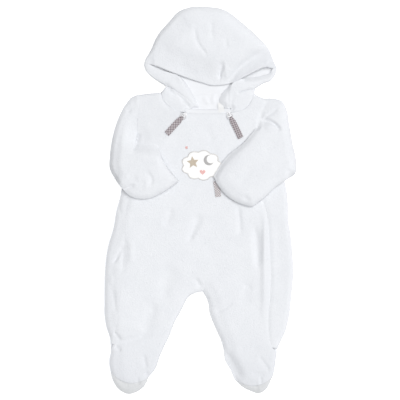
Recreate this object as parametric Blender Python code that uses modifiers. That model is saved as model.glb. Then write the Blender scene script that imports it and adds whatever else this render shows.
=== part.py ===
"""Baby romper: hooded, footed plush pramsuit with two long zips, laid flat on its back.

Millimetres in the tables, metres in the scene.  +X is to the right of someone
looking down at the front, +Y runs up to the hood, +Z is up from the surface.
Nodes are named by the wearer's side: "right" is at -X, "left" at +X.

The cloth is a padded plush (pile, wadding, jersey).  Every panel is a wall:
3 mm at its seams, filling to about 7 mm in its middle.  The front panels lie on
the back panel along the plane z = MID.  Each panel is a loft through the rows of
a short table; its height comes from the distance to its own edges, so it rounds
over at the outline and dips at the seams.
"""
import math

import bmesh
import bpy
import numpy as np

# ---------------------------------------------------------------- named sizes
MM = 0.001
MID = 8.0            # height where front and back panels meet
BODY_TOP = 16.5      # top of the body, laid flat
EDGE = 3.0           # wall at a seam
GAP = 0.3            # between neighbouring pieces
ROLL = 18.0          # radius over which the front rounds down at the outline
ROLL_UNDER = 10.0    # the same on the underside
AIR = 2.3            # space between front and back, in the middle
SEAM_DIP = 3.5       # how far plush sinks at a zip
SEAM_REACH = 7.0
SLEEVE_GAP = 1.3     # sleeve above the body front (clears the chest patch)
CUFF_SLOT = 2.4      # opening between the two walls of a cuff
LINING = 1.5
CROWN_RISE = 17.0
RIBBON_W, RIBBON_T, RIBBON_L = 10.0, 1.8, 39.0
WIRE = 0.7           # radius of the pull ring's wire

# ------------------------------------------------- tables: body, row by row
# columns: side edge x, y | zip x, y | centre line (below the crotch: inner leg) x, y
BODY_R = [
    (-107, 162, -27, 152.5, 12, 152), (-108, 154, -43, 132, 11, 132),
    (-110, 140, -62, 109, 10, 109), (-110, 112, -80, 86, 9, 86),
    (-116, 88, -92, 67, 9, 67), (-125, 62, -104, 46, 8, 46),
    (-134, 35, -113, 28, 8, 28), (-138, 19, -120, 12, 7, 12),
    (-141, 5, -125, -2, 7, -2), (-147, -16, -129, -20, 7, -20),
    (-153, -50, -131, -50, 6, -50), (-161, -76, -132, -76, 6, -76),
    (-165, -97, -134, -97, 5, -97), (-168, -135, -137, -135, 5, -135),
    (-168.5, -160, -139, -160, 4, -160), (-168.5, -180, -141, -181, -18.5, -168),
    (-168, -205, -143.5, -204, -32.5, -192), (-164.5, -224.5, -147, -222, -45, -215),
    (-159, -240.5, -149.5, -238, -54.5, -239.5), (-157.5, -253, -151.5, -252, -65, -261),
]
BODY_L = [
    (102.8, 157.2, 50, 153, 12, 152), (100.8, 152.5, 60, 132, 11, 132),
    (98.5, 145, 70, 109, 10, 109), (97, 137, 80, 86, 9, 86),
    (104, 119, 88, 67, 9, 67), (118, 105, 95, 46, 8, 46),
    (130, 79, 101.5, 28, 8, 28), (141, 53, 107, 12, 7, 12),
    (150.5, 22, 111, -2, 7, -2), (153.5, -1, 116, -20, 7, -20),
    (154.5, -35, 120, -50, 6, -50), (159.5, -68, 121.5, -76, 6, -76),
    (162, -97, 122.5, -97, 5, -97), (163, -132, 124, -135, 5, -135),
    (161, -158, 123, -160, 4, -160), (159, -178, 121.5, -181, 12.5, -174.5),
    (155.5, -205.5, 119.5, -205, 17, -199), (150, -228, 120, -228, 27.5, -225.5),
    (141.5, -247, 122.5, -247, 37, -247), (136, -259, 126, -258, 41.5, -264),
]
CROTCH = 14          # row of the tables above at the crotch
UNDERARM_R, UNDERARM_L = 3, 5

# shoulder rows above the zip: shoulder or armhole x, y | neck seam x, y; the third is the shoulder tip
SHOULDER_R = [(-73, 188.5, -67.9, 187.5), (-90, 187, -66.2, 182), (-107, 184.8, -64, 174),
              (-106.8, 178, -53, 163), (-107, 169, -40, 155.5)]
SHOULDER_L = [(98.5, 183.4, 94, 185.4), (106, 180.6, 91, 178), (113, 178, 88, 170),
              (110, 171.5, 80, 161), (104.7, 161, 67, 155.5)]

# the feet: outer x, y | inner x, y; the third row is the seam with the sole
FOOT_R = [(-157, -264, -71, -275), (-160, -280, -78.5, -295.5), (-157.5, -301, -90.5, -310)]
FOOT_L = [(134, -270.5, 43, -278.5), (131, -291.5, 53.5, -298), (128, -307, 60, -314)]
TOE_SAG = 15.0       # how far the sole seam curves out between its ends
TOE_R = [(-157.5, -301), (-152, -319.5), (-141, -333.5), (-126.5, -340), (-112, -336.5), (-98.5, -326.5), (-90.5, -310)]
TOE_L = [(128, -307), (123.5, -316.5), (115, -332), (102.5, -339), (90, -335.5), (72, -326), (60, -314)]
# the back's last rows, under the sole
BACK_TOE_R = [(-152, -319.5, -98.5, -326.5), (-141, -333.5, -106.5, -332.4), (-132.5, -337.2, -119, -338)]
BACK_TOE_L = [(123.5, -316.5, 72, -326), (115, -332, 82, -331), (108.5, -335.8, 95, -336.8)]
# the back's first rows, from the hood seam down: outer x, y | centre x, y
BACK_TOP_R = [(-59.5, 199.2, 12, 177.4), (-68.3, 189.2, 12, 171), (-90, 187, 12, 164), (-107, 184.8, 12, 158)]
BACK_TOP_L = [(97, 195.5, 12, 177.4), (95.3, 188, 12, 171), (105, 181.4, 12, 164), (113, 178, 12, 158)]

# ------------------------------------------------------------ tables: sleeves
# columns: outer x, y | inner x, y | height of the top
SLEEVE_R = [
    (-107, 184.8, -110, 112, 16.5), (-118.5, 181.5, -110.4, 111, 16.5), (-131, 168, -110.8, 109.5, 17),
    (-143, 145.5, -111.2, 107.5, 18.5), (-153, 114.5, -110.5, 105.5, 21), (-158.5, 79, -107, 104, 24),
    (-158.5, 55, -102, 103.6, 26), (-149.3, 37, -96, 103.5, 27.5), (-137, 21, -92, 103.4, 28.8),
    (-120, 6, -87.5, 103.2, 29.6), (-97, 2, -83, 103, 30.2), (-68, 12, -79, 102.8, 30.8),
    (-37, 34, -76, 102.5, 30.8),
]
SLEEVE_L = [
    (113, 178, 98.5, 136, 16.5), (130.5, 178, 99.5, 134, 17), (144, 173, 100.5, 132, 18.5),
    (151.3, 159.5, 101, 130.3, 20.5), (156.3, 132.5, 100, 128, 23), (162, 100.5, 96, 123, 26),
    (168.5, 65, 87, 113, 28), (167.3, 47.5, 78, 102, 29), (151.5, 36, 66, 92, 30),
    (133, 24, 54, 83, 30.5), (115, 7, 41, 69, 30.8), (90, -12, 23, 41, 30.8),
]
CUFF_BULGE_R, CUFF_BULGE_L = 6.0, 12.0

# --------------------------------------------------------------- tables: hood
# one outline round the dome, left corner to right corner
DOME = [(-98.5, 238.8), (-97, 244.7), (-87, 263), (-76.3, 286.7), (-56.5, 310.8), (-35.5, 332), (-16, 338.5),
        (4, 339), (41, 334), (73, 311.5), (102, 285.5), (121.5, 262.5), (127.5, 247), (134.4, 231.6)]
BRIM = [(-91.5, 239), (-83, 236.4), (-74, 233.2), (-54, 225), (-38, 219), (-24, 214), (4, 205),
        (18, 201), (34, 201), (55, 205), (75, 214), (95, 224), (113, 231.7), (126.3, 230.9)]
BACK_LOW = [(-98.6, 236), (-96, 228), (-85, 216.3), (-73.5, 208.3), (-59.3, 200), (-35, 192.5), (-12, 185.3),
            (12, 177.9), (40, 184), (68, 190), (97, 196.3), (110.6, 204.5), (124, 210), (131.7, 220.5), (134.5, 229)]
BACK_HIGH = [(-98.5, 239), (-96.5, 246), (-90, 257), (-82, 274), (-65.5, 300), (-48, 319.5), (-20, 337.5),
             (4, 339), (33, 335), (62, 319.5), (92, 294.5), (112, 274), (121.5, 262.5), (127.5, 247), (134.4, 231.8)]
LINING_IN = 9.0      # the lining's edge, in from the dome's outline
# the hood's sides: outline or fold x, y | front edge x, y | height
SIDE_R = [
    (-98.7, 238.1, -91.5, 238.3, 12.5), (-96, 228, -74, 229.5, 13.5), (-85, 216.3, -56, 222, 14.5),
    (-73.5, 208.3, -43, 217.5, 15), (-59.3, 200, -28, 208, 15.5), (-46, 193, -20, 198.5, 16),
    (-34, 185, -14.5, 187.5, 16), (-22, 176, -7.5, 176, 16), (-10, 164, -2, 163, 15),
]
SIDE_L = [
    (134.6, 230.9, 126.4, 230.2, 12.5), (131.7, 220.5, 123.5, 224.5, 13.5), (124, 210, 111, 219, 14.5),
    (110.6, 204.5, 96, 216, 15), (97, 196.3, 80, 213.5, 15.5), (83, 193, 66, 209, 16),
    (69, 189, 54, 201.5, 16), (61, 184, 41.5, 191, 16), (57, 176, 35, 182.5, 16),
    (55.5, 168.5, 33, 174, 15.5), (54.5, 161, 44.5, 159.5, 15),
]
# neck seam, one point for each row of the side from the fifth on
NECK_R = [(-68.3, 189), (-64, 174), (-53, 163), (-40, 155.5), (-25.5, 154)]
NECK_L = [(95, 188), (91, 178), (88, 170), (80, 161), (67, 155.5), (57, 154), (50.5, 154.2)]

# ------------------------------------------------------------- tables: folds
# largest folds of the front: x, y from | x, y to | half width | depth (- sinks, + rises)
FOLDS = [
    (0, -27, -22, -74, 11, -2.2), (-48, -22, -62, -50, 9, -1.4), (68, -8, 64, -64, 9, -1.4),
    (97, -52, 103, -88, 8, -2.4), (103, -88, 112, -218, 7, -2.0), (114, -20, 116, -210, 4, 1.6),
    (-8, -138, 3, -154, 8, -2.2), (-134, -82, -146, -196, 6, -1.6), (-121, -76, -120, -130, 8, 1.2),
    (28, -196, 57, -180, 7, -1.8), (-60, -135, -92, -205, 14, -1.2), (74, -150, 92, -158, 7, -1.0),
]

# ----------------------------------------------------------------- functions
def lerp(a, b, t):
    return a + (b - a) * t


def smooth(t):
    t = np.clip(t, 0.0, 1.0)
    return t * t * (3.0 - 2.0 * t)


def over(t):
    """Quarter-round: 0 at the edge, 1 at one radius in."""
    t = np.clip(t, 0.0, 1.0)
    return np.sqrt(1.0 - (1.0 - t) ** 2)


def off_line(p, line):
    """Distance of each point p (n, 2) from a polyline."""
    p = np.asarray(p, float)
    line = np.asarray(line, float)
    best = np.full(len(p), 1e9)
    for a, b in zip(line[:-1], line[1:]):
        ab = b - a
        t = np.clip(((p - a) @ ab) / max(ab @ ab, 1e-9), 0.0, 1.0)
        q = p - (a + t[:, None] * ab)
        best = np.minimum(best, np.hypot(q[:, 0], q[:, 1]))
    return best


def inside(p, ring):
    """True where a point lies inside a closed outline."""
    p = np.asarray(p, float)
    ring = np.asarray(ring, float)
    hit = np.zeros(len(p), bool)
    for (x0, y0), (x1, y1) in zip(ring, np.roll(ring, -1, axis=0)):
        cross = (y0 > p[:, 1]) != (y1 > p[:, 1])
        x = x0 + (p[:, 1] - y0) / (y1 - y0 if y1 != y0 else 1e-9) * (x1 - x0)
        hit ^= cross & (p[:, 0] < x)
    return hit


def pairs(table, i):
    return [(row[i], row[i + 1]) for row in table]


def ruled(first, second, cuts, inset=(0.0, 0.0), bulge=None):
    """Grid of points between two edges that have a row each.  cuts are the
    fractions across; inset (mm) draws each edge back from its seam."""
    first, second = np.array(first, float), np.array(second, float)
    span = np.linalg.norm(second - first, axis=1)
    cuts = np.array(cuts, float)
    grid = []
    for a, b, w in zip(first, second, span):
        d = (b - a) / w
        a2, b2 = a + d * inset[0], b - d * inset[1]
        grid.append(lerp(a2[None, :], b2[None, :], cuts[:, None]))
    grid = np.array(grid)
    if bulge is not None:
        for r, sag in enumerate(bulge):
            if sag:
                a, b = grid[r, 0], grid[r, -1]
                n = np.array([-(b - a)[1], (b - a)[0]]) / np.linalg.norm(b - a)
                grid[r] += (n * sag)[None, :] * (4 * cuts * (1 - cuts))[:, None]
    return grid


class Plan:
    """A flat cutting plan: points and quads, welded where patches meet."""

    def __init__(self):
        self.pts, self.quads, self.key = [], [], {}

    def point(self, p):
        k = (round(float(p[0]), 3), round(float(p[1]), 3))
        if k not in self.key:
            self.key[k] = len(self.pts)
            self.pts.append(k)
        return self.key[k]

    def patch(self, grid):
        ids = [[self.point(p) for p in row] for row in grid]
        for r in range(len(ids) - 1):
            for c in range(len(ids[0]) - 1):
                q = [ids[r][c], ids[r][c + 1], ids[r + 1][c + 1], ids[r + 1][c]]
                q = [v for n, v in enumerate(q) if v not in q[:n]]
                if len(q) < 3:
                    continue
                area = sum(self.pts[q[n - 1]][0] * self.pts[q[n]][1] - self.pts[q[n]][0] * self.pts[q[n - 1]][1]
                           for n in range(len(q)))
                self.quads.append(q if area > 0 else q[::-1])
        return self

    def solid(self, top, under):
        """Close the plan between two height functions."""
        p = np.array(self.pts)
        n = len(p)
        zt, zb = top(p), under(p)
        verts = [(x, y, z) for (x, y), z in zip(p, zt)] + [(x, y, z) for (x, y), z in zip(p, zb)]
        faces = [tuple(q) for q in self.quads] + [tuple(v + n for v in q[::-1]) for q in self.quads]
        edges = {}
        for q in self.quads:
            for a, b in zip(q, q[1:] + q[:1]):
                edges[(a, b)] = True
        for a, b in edges:
            if (b, a) not in edges:
                faces.append((a + n, b + n, b, a))
        return verts, faces


def material(name, colour, rough=0.85, metal=0.0):
    m = bpy.data.materials.new(name)
    m.use_nodes = True
    s = m.node_tree.nodes["Principled BSDF"]
    s.inputs["Base Color"].default_value = (*colour, 1.0)
    s.inputs["Roughness"].default_value = rough
    s.inputs["Metallic"].default_value = metal
    m.diffuse_color = (*colour, 1.0)
    return m


def face_out(bm):
    bmesh.ops.recalc_face_normals(bm, faces=bm.faces)
    if bm.calc_volume(signed=True) < 0:
        bmesh.ops.reverse_faces(bm, faces=bm.faces)


def node(name, verts, faces, mat, smooth_shade=True):
    mesh = bpy.data.meshes.new(name)
    mesh.from_pydata([(x * MM, y * MM, z * MM) for x, y, z in verts], [], faces)
    bm = bmesh.new()
    bm.from_mesh(mesh)
    bmesh.ops.remove_doubles(bm, verts=bm.verts, dist=1e-6)
    face_out(bm)
    bm.to_mesh(mesh)
    bm.free()
    if smooth_shade:
        mesh.shade_smooth()
        mesh.set_sharp_from_angle(angle=math.radians(50))
    mesh.materials.append(mat)
    obj = bpy.data.objects.new(name, mesh)
    parts.objects.link(obj)
    return obj


# --------------------------------------------------------------- start clean
for old in list(bpy.data.objects):
    bpy.data.objects.remove(old, do_unlink=True)
parts = bpy.data.collections.new("baby_romper")
bpy.context.scene.collection.children.link(parts)
cutters = bpy.data.collections.new("cutters")
bpy.context.scene.collection.children.link(cutters)

plush = material("plush_white", (0.86, 0.87, 0.89), 0.95)
jersey = material("jersey_white", (0.93, 0.94, 0.96), 0.8)
tape = material("zip_tape_white", (0.85, 0.85, 0.86), 0.7)
enamel = material("slider_white", (0.82, 0.82, 0.83), 0.35)
ribbon = material("ribbon_grey", (0.33, 0.29, 0.31), 0.75)
satin = material("satin_white", (0.93, 0.92, 0.90), 0.4)
beige = material("satin_beige", (0.62, 0.53, 0.42), 0.5)
grey = material("satin_grey", (0.55, 0.54, 0.54), 0.5)
pink = material("felt_pink", (0.85, 0.52, 0.50), 0.7)
label = material("label_white", (0.93, 0.93, 0.92), 0.5)

# ------------------------------------------------------------- the body lines
side_r = pairs(BODY_R, 0) + pairs(FOOT_R, 0)[:2]
side_l = pairs(BODY_L, 0) + pairs(FOOT_L, 0)[:2]
inner_r = pairs(BODY_R, 4)[CROTCH:] + pairs(FOOT_R, 2)[:2]
inner_l = pairs(BODY_L, 4)[CROTCH:] + pairs(FOOT_L, 2)[:2]
shoulder_line_r = [(-59.3, 200), (-68.3, 189)] + pairs(SHOULDER_R, 0)[:3]
shoulder_line_l = [(97, 196.3), (95.2, 188)] + pairs(SHOULDER_L, 0)[:3]
outer_round = side_r[UNDERARM_R:] + TOE_R + inner_r[::-1] + inner_l[1:] + TOE_L[::-1] + side_l[UNDERARM_L:][::-1]
body_outline = ([(-68.3, 189)] + pairs(SHOULDER_R, 0) + side_r + TOE_R + inner_r[::-1] + inner_l[1:]
                + TOE_L[::-1] + side_l[::-1] + pairs(SHOULDER_L, 0)[::-1] + [(95.2, 188)])
zip_line_r = pairs(BODY_R, 2)
zip_line_l = pairs(BODY_L, 2)
neck_edge = [(-27, 152.5), (-8, 151.5), (12, 151), (32, 151.7), (50, 153)]
toe_seam_r = ruled([FOOT_R[2][:2]], [FOOT_R[2][2:]], np.linspace(0, 1, 9), bulge=[-TOE_SAG])[0]
toe_seam_l = ruled([FOOT_L[2][:2]], [FOOT_L[2][2:]], np.linspace(0, 1, 9), bulge=[TOE_SAG])[0]


def rim(p):
    """Distance from the body's outline, shoulders and legs but not the armholes."""
    return np.minimum(off_line(p, outer_round),
                      np.minimum(off_line(p, shoulder_line_r), off_line(p, shoulder_line_l)))


def folds(p):
    z = np.zeros(len(p))
    for x0, y0, x1, y1, w, h in FOLDS:
        d = off_line(p, [(x0, y0), (x1, y1)])
        z += h * np.exp(-(d / (0.62 * w)) ** 2)
    return z


def body_plain(p):
    """Height of the front without seams or folds."""
    return MID + EDGE + (BODY_TOP - MID - EDGE) * over(rim(p) / ROLL)


def body_top(p):
    z = body_plain(p)
    dip = np.minimum(off_line(p, zip_line_r), off_line(p, zip_line_l))
    dip = np.minimum(dip, np.minimum(off_line(p, toe_seam_r), off_line(p, toe_seam_l)) + 2.0)
    dip = np.minimum(dip, np.minimum(off_line(p, NECK_R), off_line(p, NECK_L)) + 2.5)
    z = z - SEAM_DIP * (1.0 - smooth(dip / SEAM_REACH)) * over(rim(p) / 14.0)
    z = z - 3.0 * (1.0 - over(off_line(p, neck_edge) / 8.0))
    z = z + folds(p) * over(rim(p) / ROLL)
    return np.maximum(z, MID + GAP / 2 + EDGE - 0.2)


def air(p):
    return GAP + (AIR - GAP) * smooth((rim(p) - 3.0) / 11.0)


def body_under(p):
    return MID + air(p) / 2


def back_top(p):
    return MID - air(p) / 2


def back_under(p):
    return (MID - EDGE - GAP / 2) * (1.0 - over(rim(p) / ROLL_UNDER))


# ----------------------------------------------------------------- the front
seam = 0.22
cuts_front = (0, .05, .13, .27, .45, .65, .82, .93, .98, 1)
plan = Plan()
for table, foot, sag in ((BODY_R, FOOT_R, -TOE_SAG), (BODY_L, FOOT_L, TOE_SAG)):
    zips, mids = pairs(table, 2), pairs(table, 4)
    plan.patch(ruled(zips, mids, cuts_front, inset=(seam, 0)))
    ankle = ruled([zips[-1]], [mids[-1]], cuts_front, inset=(seam, 0))
    rest = ruled(pairs(foot, 0), pairs(foot, 2), cuts_front, bulge=[0, 0, sag])
    rest[-1] += np.array([0.0, seam])
    plan.patch(np.concatenate([ankle, rest]))
node("front_panel", *plan.solid(body_top, body_under), plush)

for name, shoulder, table in (("front_side_right", SHOULDER_R, BODY_R), ("front_side_left", SHOULDER_L, BODY_L)):
    plan = Plan()
    plan.patch(ruled(pairs(shoulder, 0) + pairs(table, 0), pairs(shoulder, 2) + pairs(table, 2),
                     (0, .08, .22, .5, .8, .94, 1), inset=(0, seam)))
    node(name, *plan.solid(body_top, body_under), plush)

# ------------------------------------------------------------------ the back
plan = Plan()
cuts_back = (0, .03, .09, .22, .42, .65, .84, .94, .98, 1)
for top_rows, table, foot, toe in ((BACK_TOP_R, BODY_R, FOOT_R, BACK_TOE_R), (BACK_TOP_L, BODY_L, FOOT_L, BACK_TOE_L)):
    outer = pairs(top_rows, 0) + pairs(table, 0) + pairs(foot, 0) + pairs(toe, 0)
    centre = pairs(top_rows, 2) + pairs(table, 4) + pairs(foot, 2) + pairs(toe, 2)
    plan.patch(ruled(outer, centre, cuts_back))
node("back_panel", *plan.solid(back_top, back_under), plush)

# ----------------------------------------------------------------- the soles
for name, seam_line, toe, way in (("sole_right", toe_seam_r, TOE_R, -1), ("sole_left", toe_seam_l, TOE_L, 1)):
    toe_curve = [np.array(toe[0])]
    for n in range(1, 9):
        at = n / 8 * (len(toe) - 1)
        k = min(int(at), len(toe) - 2)
        toe_curve.append(lerp(np.array(toe[k], float), np.array(toe[k + 1], float), at - k))
    a, b = seam_line - np.array([0.0, seam]), np.array(toe_curve)
    grid = np.array([lerp(a, b, t) for t in (0, .45, .8, 1)])
    node(name, *Plan().patch(grid[:, 1:-1]).solid(body_top, body_under), plush)

# --------------------------------------------------------------- the sleeves
cuts_sleeve = (0, .04, .12, .27, .5, .73, .88, .96, 1)


def along(line, cuts):
    """Points at the given fractions of a polyline's length."""
    line = np.array(line, float)
    at = np.concatenate([[0.0], np.cumsum(np.linalg.norm(np.diff(line, axis=0), axis=1))])
    return np.array([[np.interp(c * at[-1], at, line[:, k]) for k in (0, 1)] for c in cuts])


def sleeve(name, table, bulge, armhole, far):
    """A flattened bent tube, on the surface beside the body and on the front
    where it crosses it, with the cuff open between its walls."""
    outer, inner = pairs(table, 0), pairs(table, 2)
    outline = outer + inner[::-1][:-1]
    crest = np.array([row[4] for row in table], float)
    rows = len(table)
    grid = ruled(outer, inner, cuts_sleeve, inset=(0, 0), bulge=[0] * (rows - 1) + [bulge])
    grid[0] = along(armhole, cuts_sleeve) + np.array([far, 0.0])
    cuff = [tuple(q) for q in grid[-1]]
    line = outer + cuff[1:-1] + inner[::-1][:-1]

    def heights(p, row):
        hold = inside(p, body_outline)
        s = off_line(p, body_outline) * np.where(hold, 1.0, -1.0)
        turn = smooth((row - 1.0) / 4.0)
        on = np.where(hold, 1.0, smooth((s + 16.0) / 14.0) * turn)
        base = (BODY_TOP + SLEEVE_GAP) * on
        d = off_line(p, line)
        zs = base + np.where(hold, 6.0, lerp(8.0, 6.0, on))
        top = zs + 1.5 + (np.maximum(np.interp(row, np.arange(rows), crest), zs + 5.0) - zs - 1.5) * over(d / 20.0)
        under = base + (zs - base - 1.5) * (1.0 - over(d / 9.0))
        return top, under

    rings, holes = [], []
    for r in range(rows):
        pts = grid[r]
        top, under = heights(pts, float(r))
        rings.append([(x, y, z) for (x, y), z in zip(pts, top)]
                     + [(x, y, z) for (x, y), z in zip(pts[::-1], under[::-1])])
        if r >= rows - 3:
            t = np.array(cuts_sleeve) * 0.82 + 0.09
            fx = np.array([np.interp(t, cuts_sleeve, pts[:, k]) for k in (0, 1)]).T
            top, under = heights(fx, float(r))
            mid = (top + under) / 2
            holes.append([(x, y, z + CUFF_SLOT / 2) for (x, y), z in zip(fx, mid)]
                         + [(x, y, z - CUFF_SLOT / 2) for (x, y), z in zip(fx[::-1], mid[::-1])])
    verts, faces = [], []
    count = len(rings[0])
    for ring in rings + holes:
        verts += ring
    for r in range(rows - 1):
        for c in range(count):
            a, b = r * count + c, r * count + (c + 1) % count
            faces.append((a, b, b + count, a + count))
    half = count // 2
    for c in range(half - 1):                       # armhole end
        faces.append((c, c + 1, count - 2 - c, count - 1 - c))
    first, last, end = rows * count, (rows + 2) * count, (rows - 1) * count
    for c in range(count):                          # cuff rim, then the slot's walls
        d = (c + 1) % count
        faces.append((end + c, end + d, last + d, last + c))
        for k in (rows, rows + 1):
            faces.append((k * count + c, k * count + d, (k + 1) * count + d, (k + 1) * count + c))
    for c in range(half - 1):                       # blind end of the slot
        faces.append((first + c, first + c + 1, first + count - 2 - c, first + count - 1 - c))
    node(name, verts, faces, plush)


armhole_r = pairs(SHOULDER_R, 0)[2:] + pairs(BODY_R, 0)[:UNDERARM_R + 1]
armhole_l = pairs(SHOULDER_L, 0)[2:] + pairs(BODY_L, 0)[:4]
sleeve("sleeve_right", SLEEVE_R, CUFF_BULGE_R, armhole_r, -0.7)
sleeve("sleeve_left", SLEEVE_L, CUFF_BULGE_L, armhole_l, 0.7)

# ------------------------------------------------------------------ the hood
def dome(p):
    return off_line(p, DOME)


def crown_top(p):
    low = 1.0 - 0.30 * (1.0 - smooth(off_line(p, BRIM) / 45.0))
    z = MID + GAP / 2 + EDGE + CROWN_RISE * over(dome(p) / 45.0) * low
    edge = 1.0 - over(off_line(p, BRIM) / 7.0)
    return z - edge * np.minimum(3.2, (z - MID - EDGE) * 0.5)


def crown_under(p):
    low = 1.0 - 0.30 * (1.0 - smooth(off_line(p, BRIM) / 45.0))
    z = CROWN_RISE * over(dome(p) / 45.0) * low
    return MID + GAP / 2 + np.maximum(0.0, z - 3.4 * smooth(dome(p) / 16.0))


cuts_dome = (0, .1, .25, .45, .65, .82, .93, 1)
grid = np.array([lerp(np.array(BRIM, float), np.array(DOME, float), t) for t in cuts_dome])
node("hood_crown", *Plan().patch(grid).solid(crown_top, crown_under), plush)

hood_low = np.array(BACK_LOW, float)
grid = np.array([lerp(hood_low, np.array(BACK_HIGH, float), t) for t in (0, .06, .2, .5, .8, .93, 1)])
round_hood = DOME + BACK_LOW[::-1][:5]
round_hood = BACK_LOW[:5][::-1] + DOME + BACK_LOW[::-1][:5]


def hood_back_under(p):
    return (MID - EDGE) * (1.0 - over(off_line(p, round_hood) / ROLL_UNDER))


node("hood_back", *Plan().patch(grid).solid(lambda p: np.full(len(p), MID - GAP / 2), hood_back_under), plush)

def at_height(line, y):
    """The point of a rising line at this height."""
    return float(np.interp(y, [q[1] for q in line], [q[0] for q in line])), y


# the lining follows the hood's front edges: a throat down to the neck, then the field up to the dome
lining_r = [(x + 1.0, y + 1.5) for x, y in pairs(SIDE_R, 2)][::-1]
lining_l = [(x - 1.0, y + 1.5) if y > 185 else (x - 1.8, y) for x, y in pairs(SIDE_L, 2)][::-1]
throat = ruled([(-1, 157)] + [at_height(lining_r, q[1]) for q in lining_l[:4]], [(45.5, 157)] + lining_l[:4],
               (0, .25, .5, .75, 1))
line_low = [q for q in lining_r[::-1] if q[1] > throat[-1, 0, 1] + 3] + [tuple(q) for q in throat[-1]] + lining_l[4:]
centre = np.array([16.0, 238.0])
drawn_in = [q + (centre - q) / np.linalg.norm(centre - q) * LINING_IN for q in np.array(DOME, float)]
line_high = along(drawn_in, np.linspace(0, 1, len(line_low)))
grid = np.array([lerp(np.array(line_low, float), line_high, t) for t in (0, .3, .7, 1)])
node("hood_lining", *Plan().patch(throat).patch(grid).solid(lambda p: np.full(len(p), MID + GAP / 2 + LINING),
                                                            lambda p: np.full(len(p), MID + GAP / 2)), jersey)


def hood_side(name, table, neck, shoulder_line):
    fold, front = pairs(table, 0), pairs(table, 2)
    crest = np.array([row[4] for row in table], float)
    band = ruled(fold, front, (0, .1, .3, .55, .8, .93, 1), inset=(0, 0.2))
    base = ruled(fold[4:4 + len(neck)], neck, (0, .1, .3, .6, .85, 1), inset=(0, seam))
    plan = Plan().patch(band).patch(base)

    def top(p):
        row = np.array([np.argmin(np.hypot(*(np.array(fold) - q).T) + np.hypot(*(np.array(front) - q).T)) for q in p])
        peak = crest[row]
        lo = MID + EDGE
        a, b = off_line(p, fold), off_line(p, front)
        r = np.minimum(over(b / 7.0), 0.25 + 0.75 * over(a / 6.0))
        rim_a = off_line(p, fold[:5] + [shoulder_line[1]])
        r = np.minimum(r, over(rim_a / 11.0))
        r = np.minimum(r, 0.55 + 0.45 * over(off_line(p, neck) / 6.0))
        return lo + (peak - lo) * r + 0.2

    node(name, *plan.solid(top, lambda p: np.full(len(p), MID + GAP / 2)), plush)


hood_side("hood_side_right", SIDE_R, NECK_R, shoulder_line_r)
hood_side("hood_side_left", SIDE_L, NECK_L, shoulder_line_l)


# -------------------------------------------------------- neck binding, label
def strip(name, line, mat, width, thick, heights):
    """A flat strip along a line: rows across it, at the given mid heights."""
    line = np.array(line, float)
    way = np.gradient(line, axis=0)
    way /= np.linalg.norm(way, axis=1)[:, None]
    side = np.stack([-way[:, 1], way[:, 0]], axis=1) * width / 2
    verts, faces = [], []
    for q, s, z in zip(line, side, heights):
        verts += [(*(q - s), z - thick / 2), (*(q + s), z - thick / 2), (*(q + s), z + thick / 2), (*(q - s), z + thick / 2)]
    for r in range(len(line) - 1):
        for c in range(4):
            a, b = 4 * r + c, 4 * r + (c + 1) % 4
            faces.append((a, b, b + 4, a + 4))
    faces += [(3, 2, 1, 0), tuple(len(verts) - 4 + k for k in range(4))]
    return node(name, verts, faces, mat, smooth_shade=False)


def bound_edge():
    """The binding: a bevelled strip that hugs the bib's top edge."""
    line = [(-6, 154.4), (4, 154), (12, 153.8), (21, 154.1), (29.6, 154.5)]
    obj = strip("neck_binding", line, jersey, 3.6, 5.6, [12.6] * len(line))
    bevel = obj.modifiers.new("rounded", "BEVEL")
    bevel.width, bevel.segments, bevel.limit_method = 1.1 * MM, 2, "ANGLE"
    return obj


bound_edge()
strip("neck_label", [(31.6, 169), (32.6, 165), (34.4, 160.5), (36.2, 156)], label, 8.0, 0.5, [10.4, 10.6, 11.4, 12.6])


# --------------------------------------------------------------------- zips
def zip_strip(name, line, start, stop):
    line = np.array(line, float)
    cut = line[start:stop]
    strip(name, cut, tape, 8.0, 1.2, [MID] * len(cut))


zip_strip("zip_right", zip_line_r, 1, 17)
zip_strip("zip_left", zip_line_l, 1, 19)


def surface(x, y):
    return float(body_top(np.array([[x, y]], float))[0])


PULLS = {  # name: slider x, y | direction of the ribbon, degrees from +X
    "right": (-27.5, 149.0, -134.0),
    "left": (50.5, 149.5, -62.0),
}
BAR = 5.4            # half of it each side of the zip line, along the hinge axis
RING_L = 6.6


def place(obj, x, y, z, turn):
    obj.location = (x * MM, y * MM, z * MM)
    obj.rotation_euler = (0, 0, math.radians(turn))


def tube_ring(name, points, radius, mat):
    curve = bpy.data.curves.new(name, "CURVE")
    curve.dimensions, curve.bevel_depth, curve.bevel_resolution = "3D", radius * MM, 2
    spline = curve.splines.new("POLY")
    spline.points.add(len(points) - 1)
    for q, at in zip(spline.points, points):
        q.co = (at[0] * MM, at[1] * MM, at[2] * MM, 1.0)
    spline.use_cyclic_u = True
    curve.materials.append(mat)
    obj = bpy.data.objects.new(name, curve)
    parts.objects.link(obj)
    return obj


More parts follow.
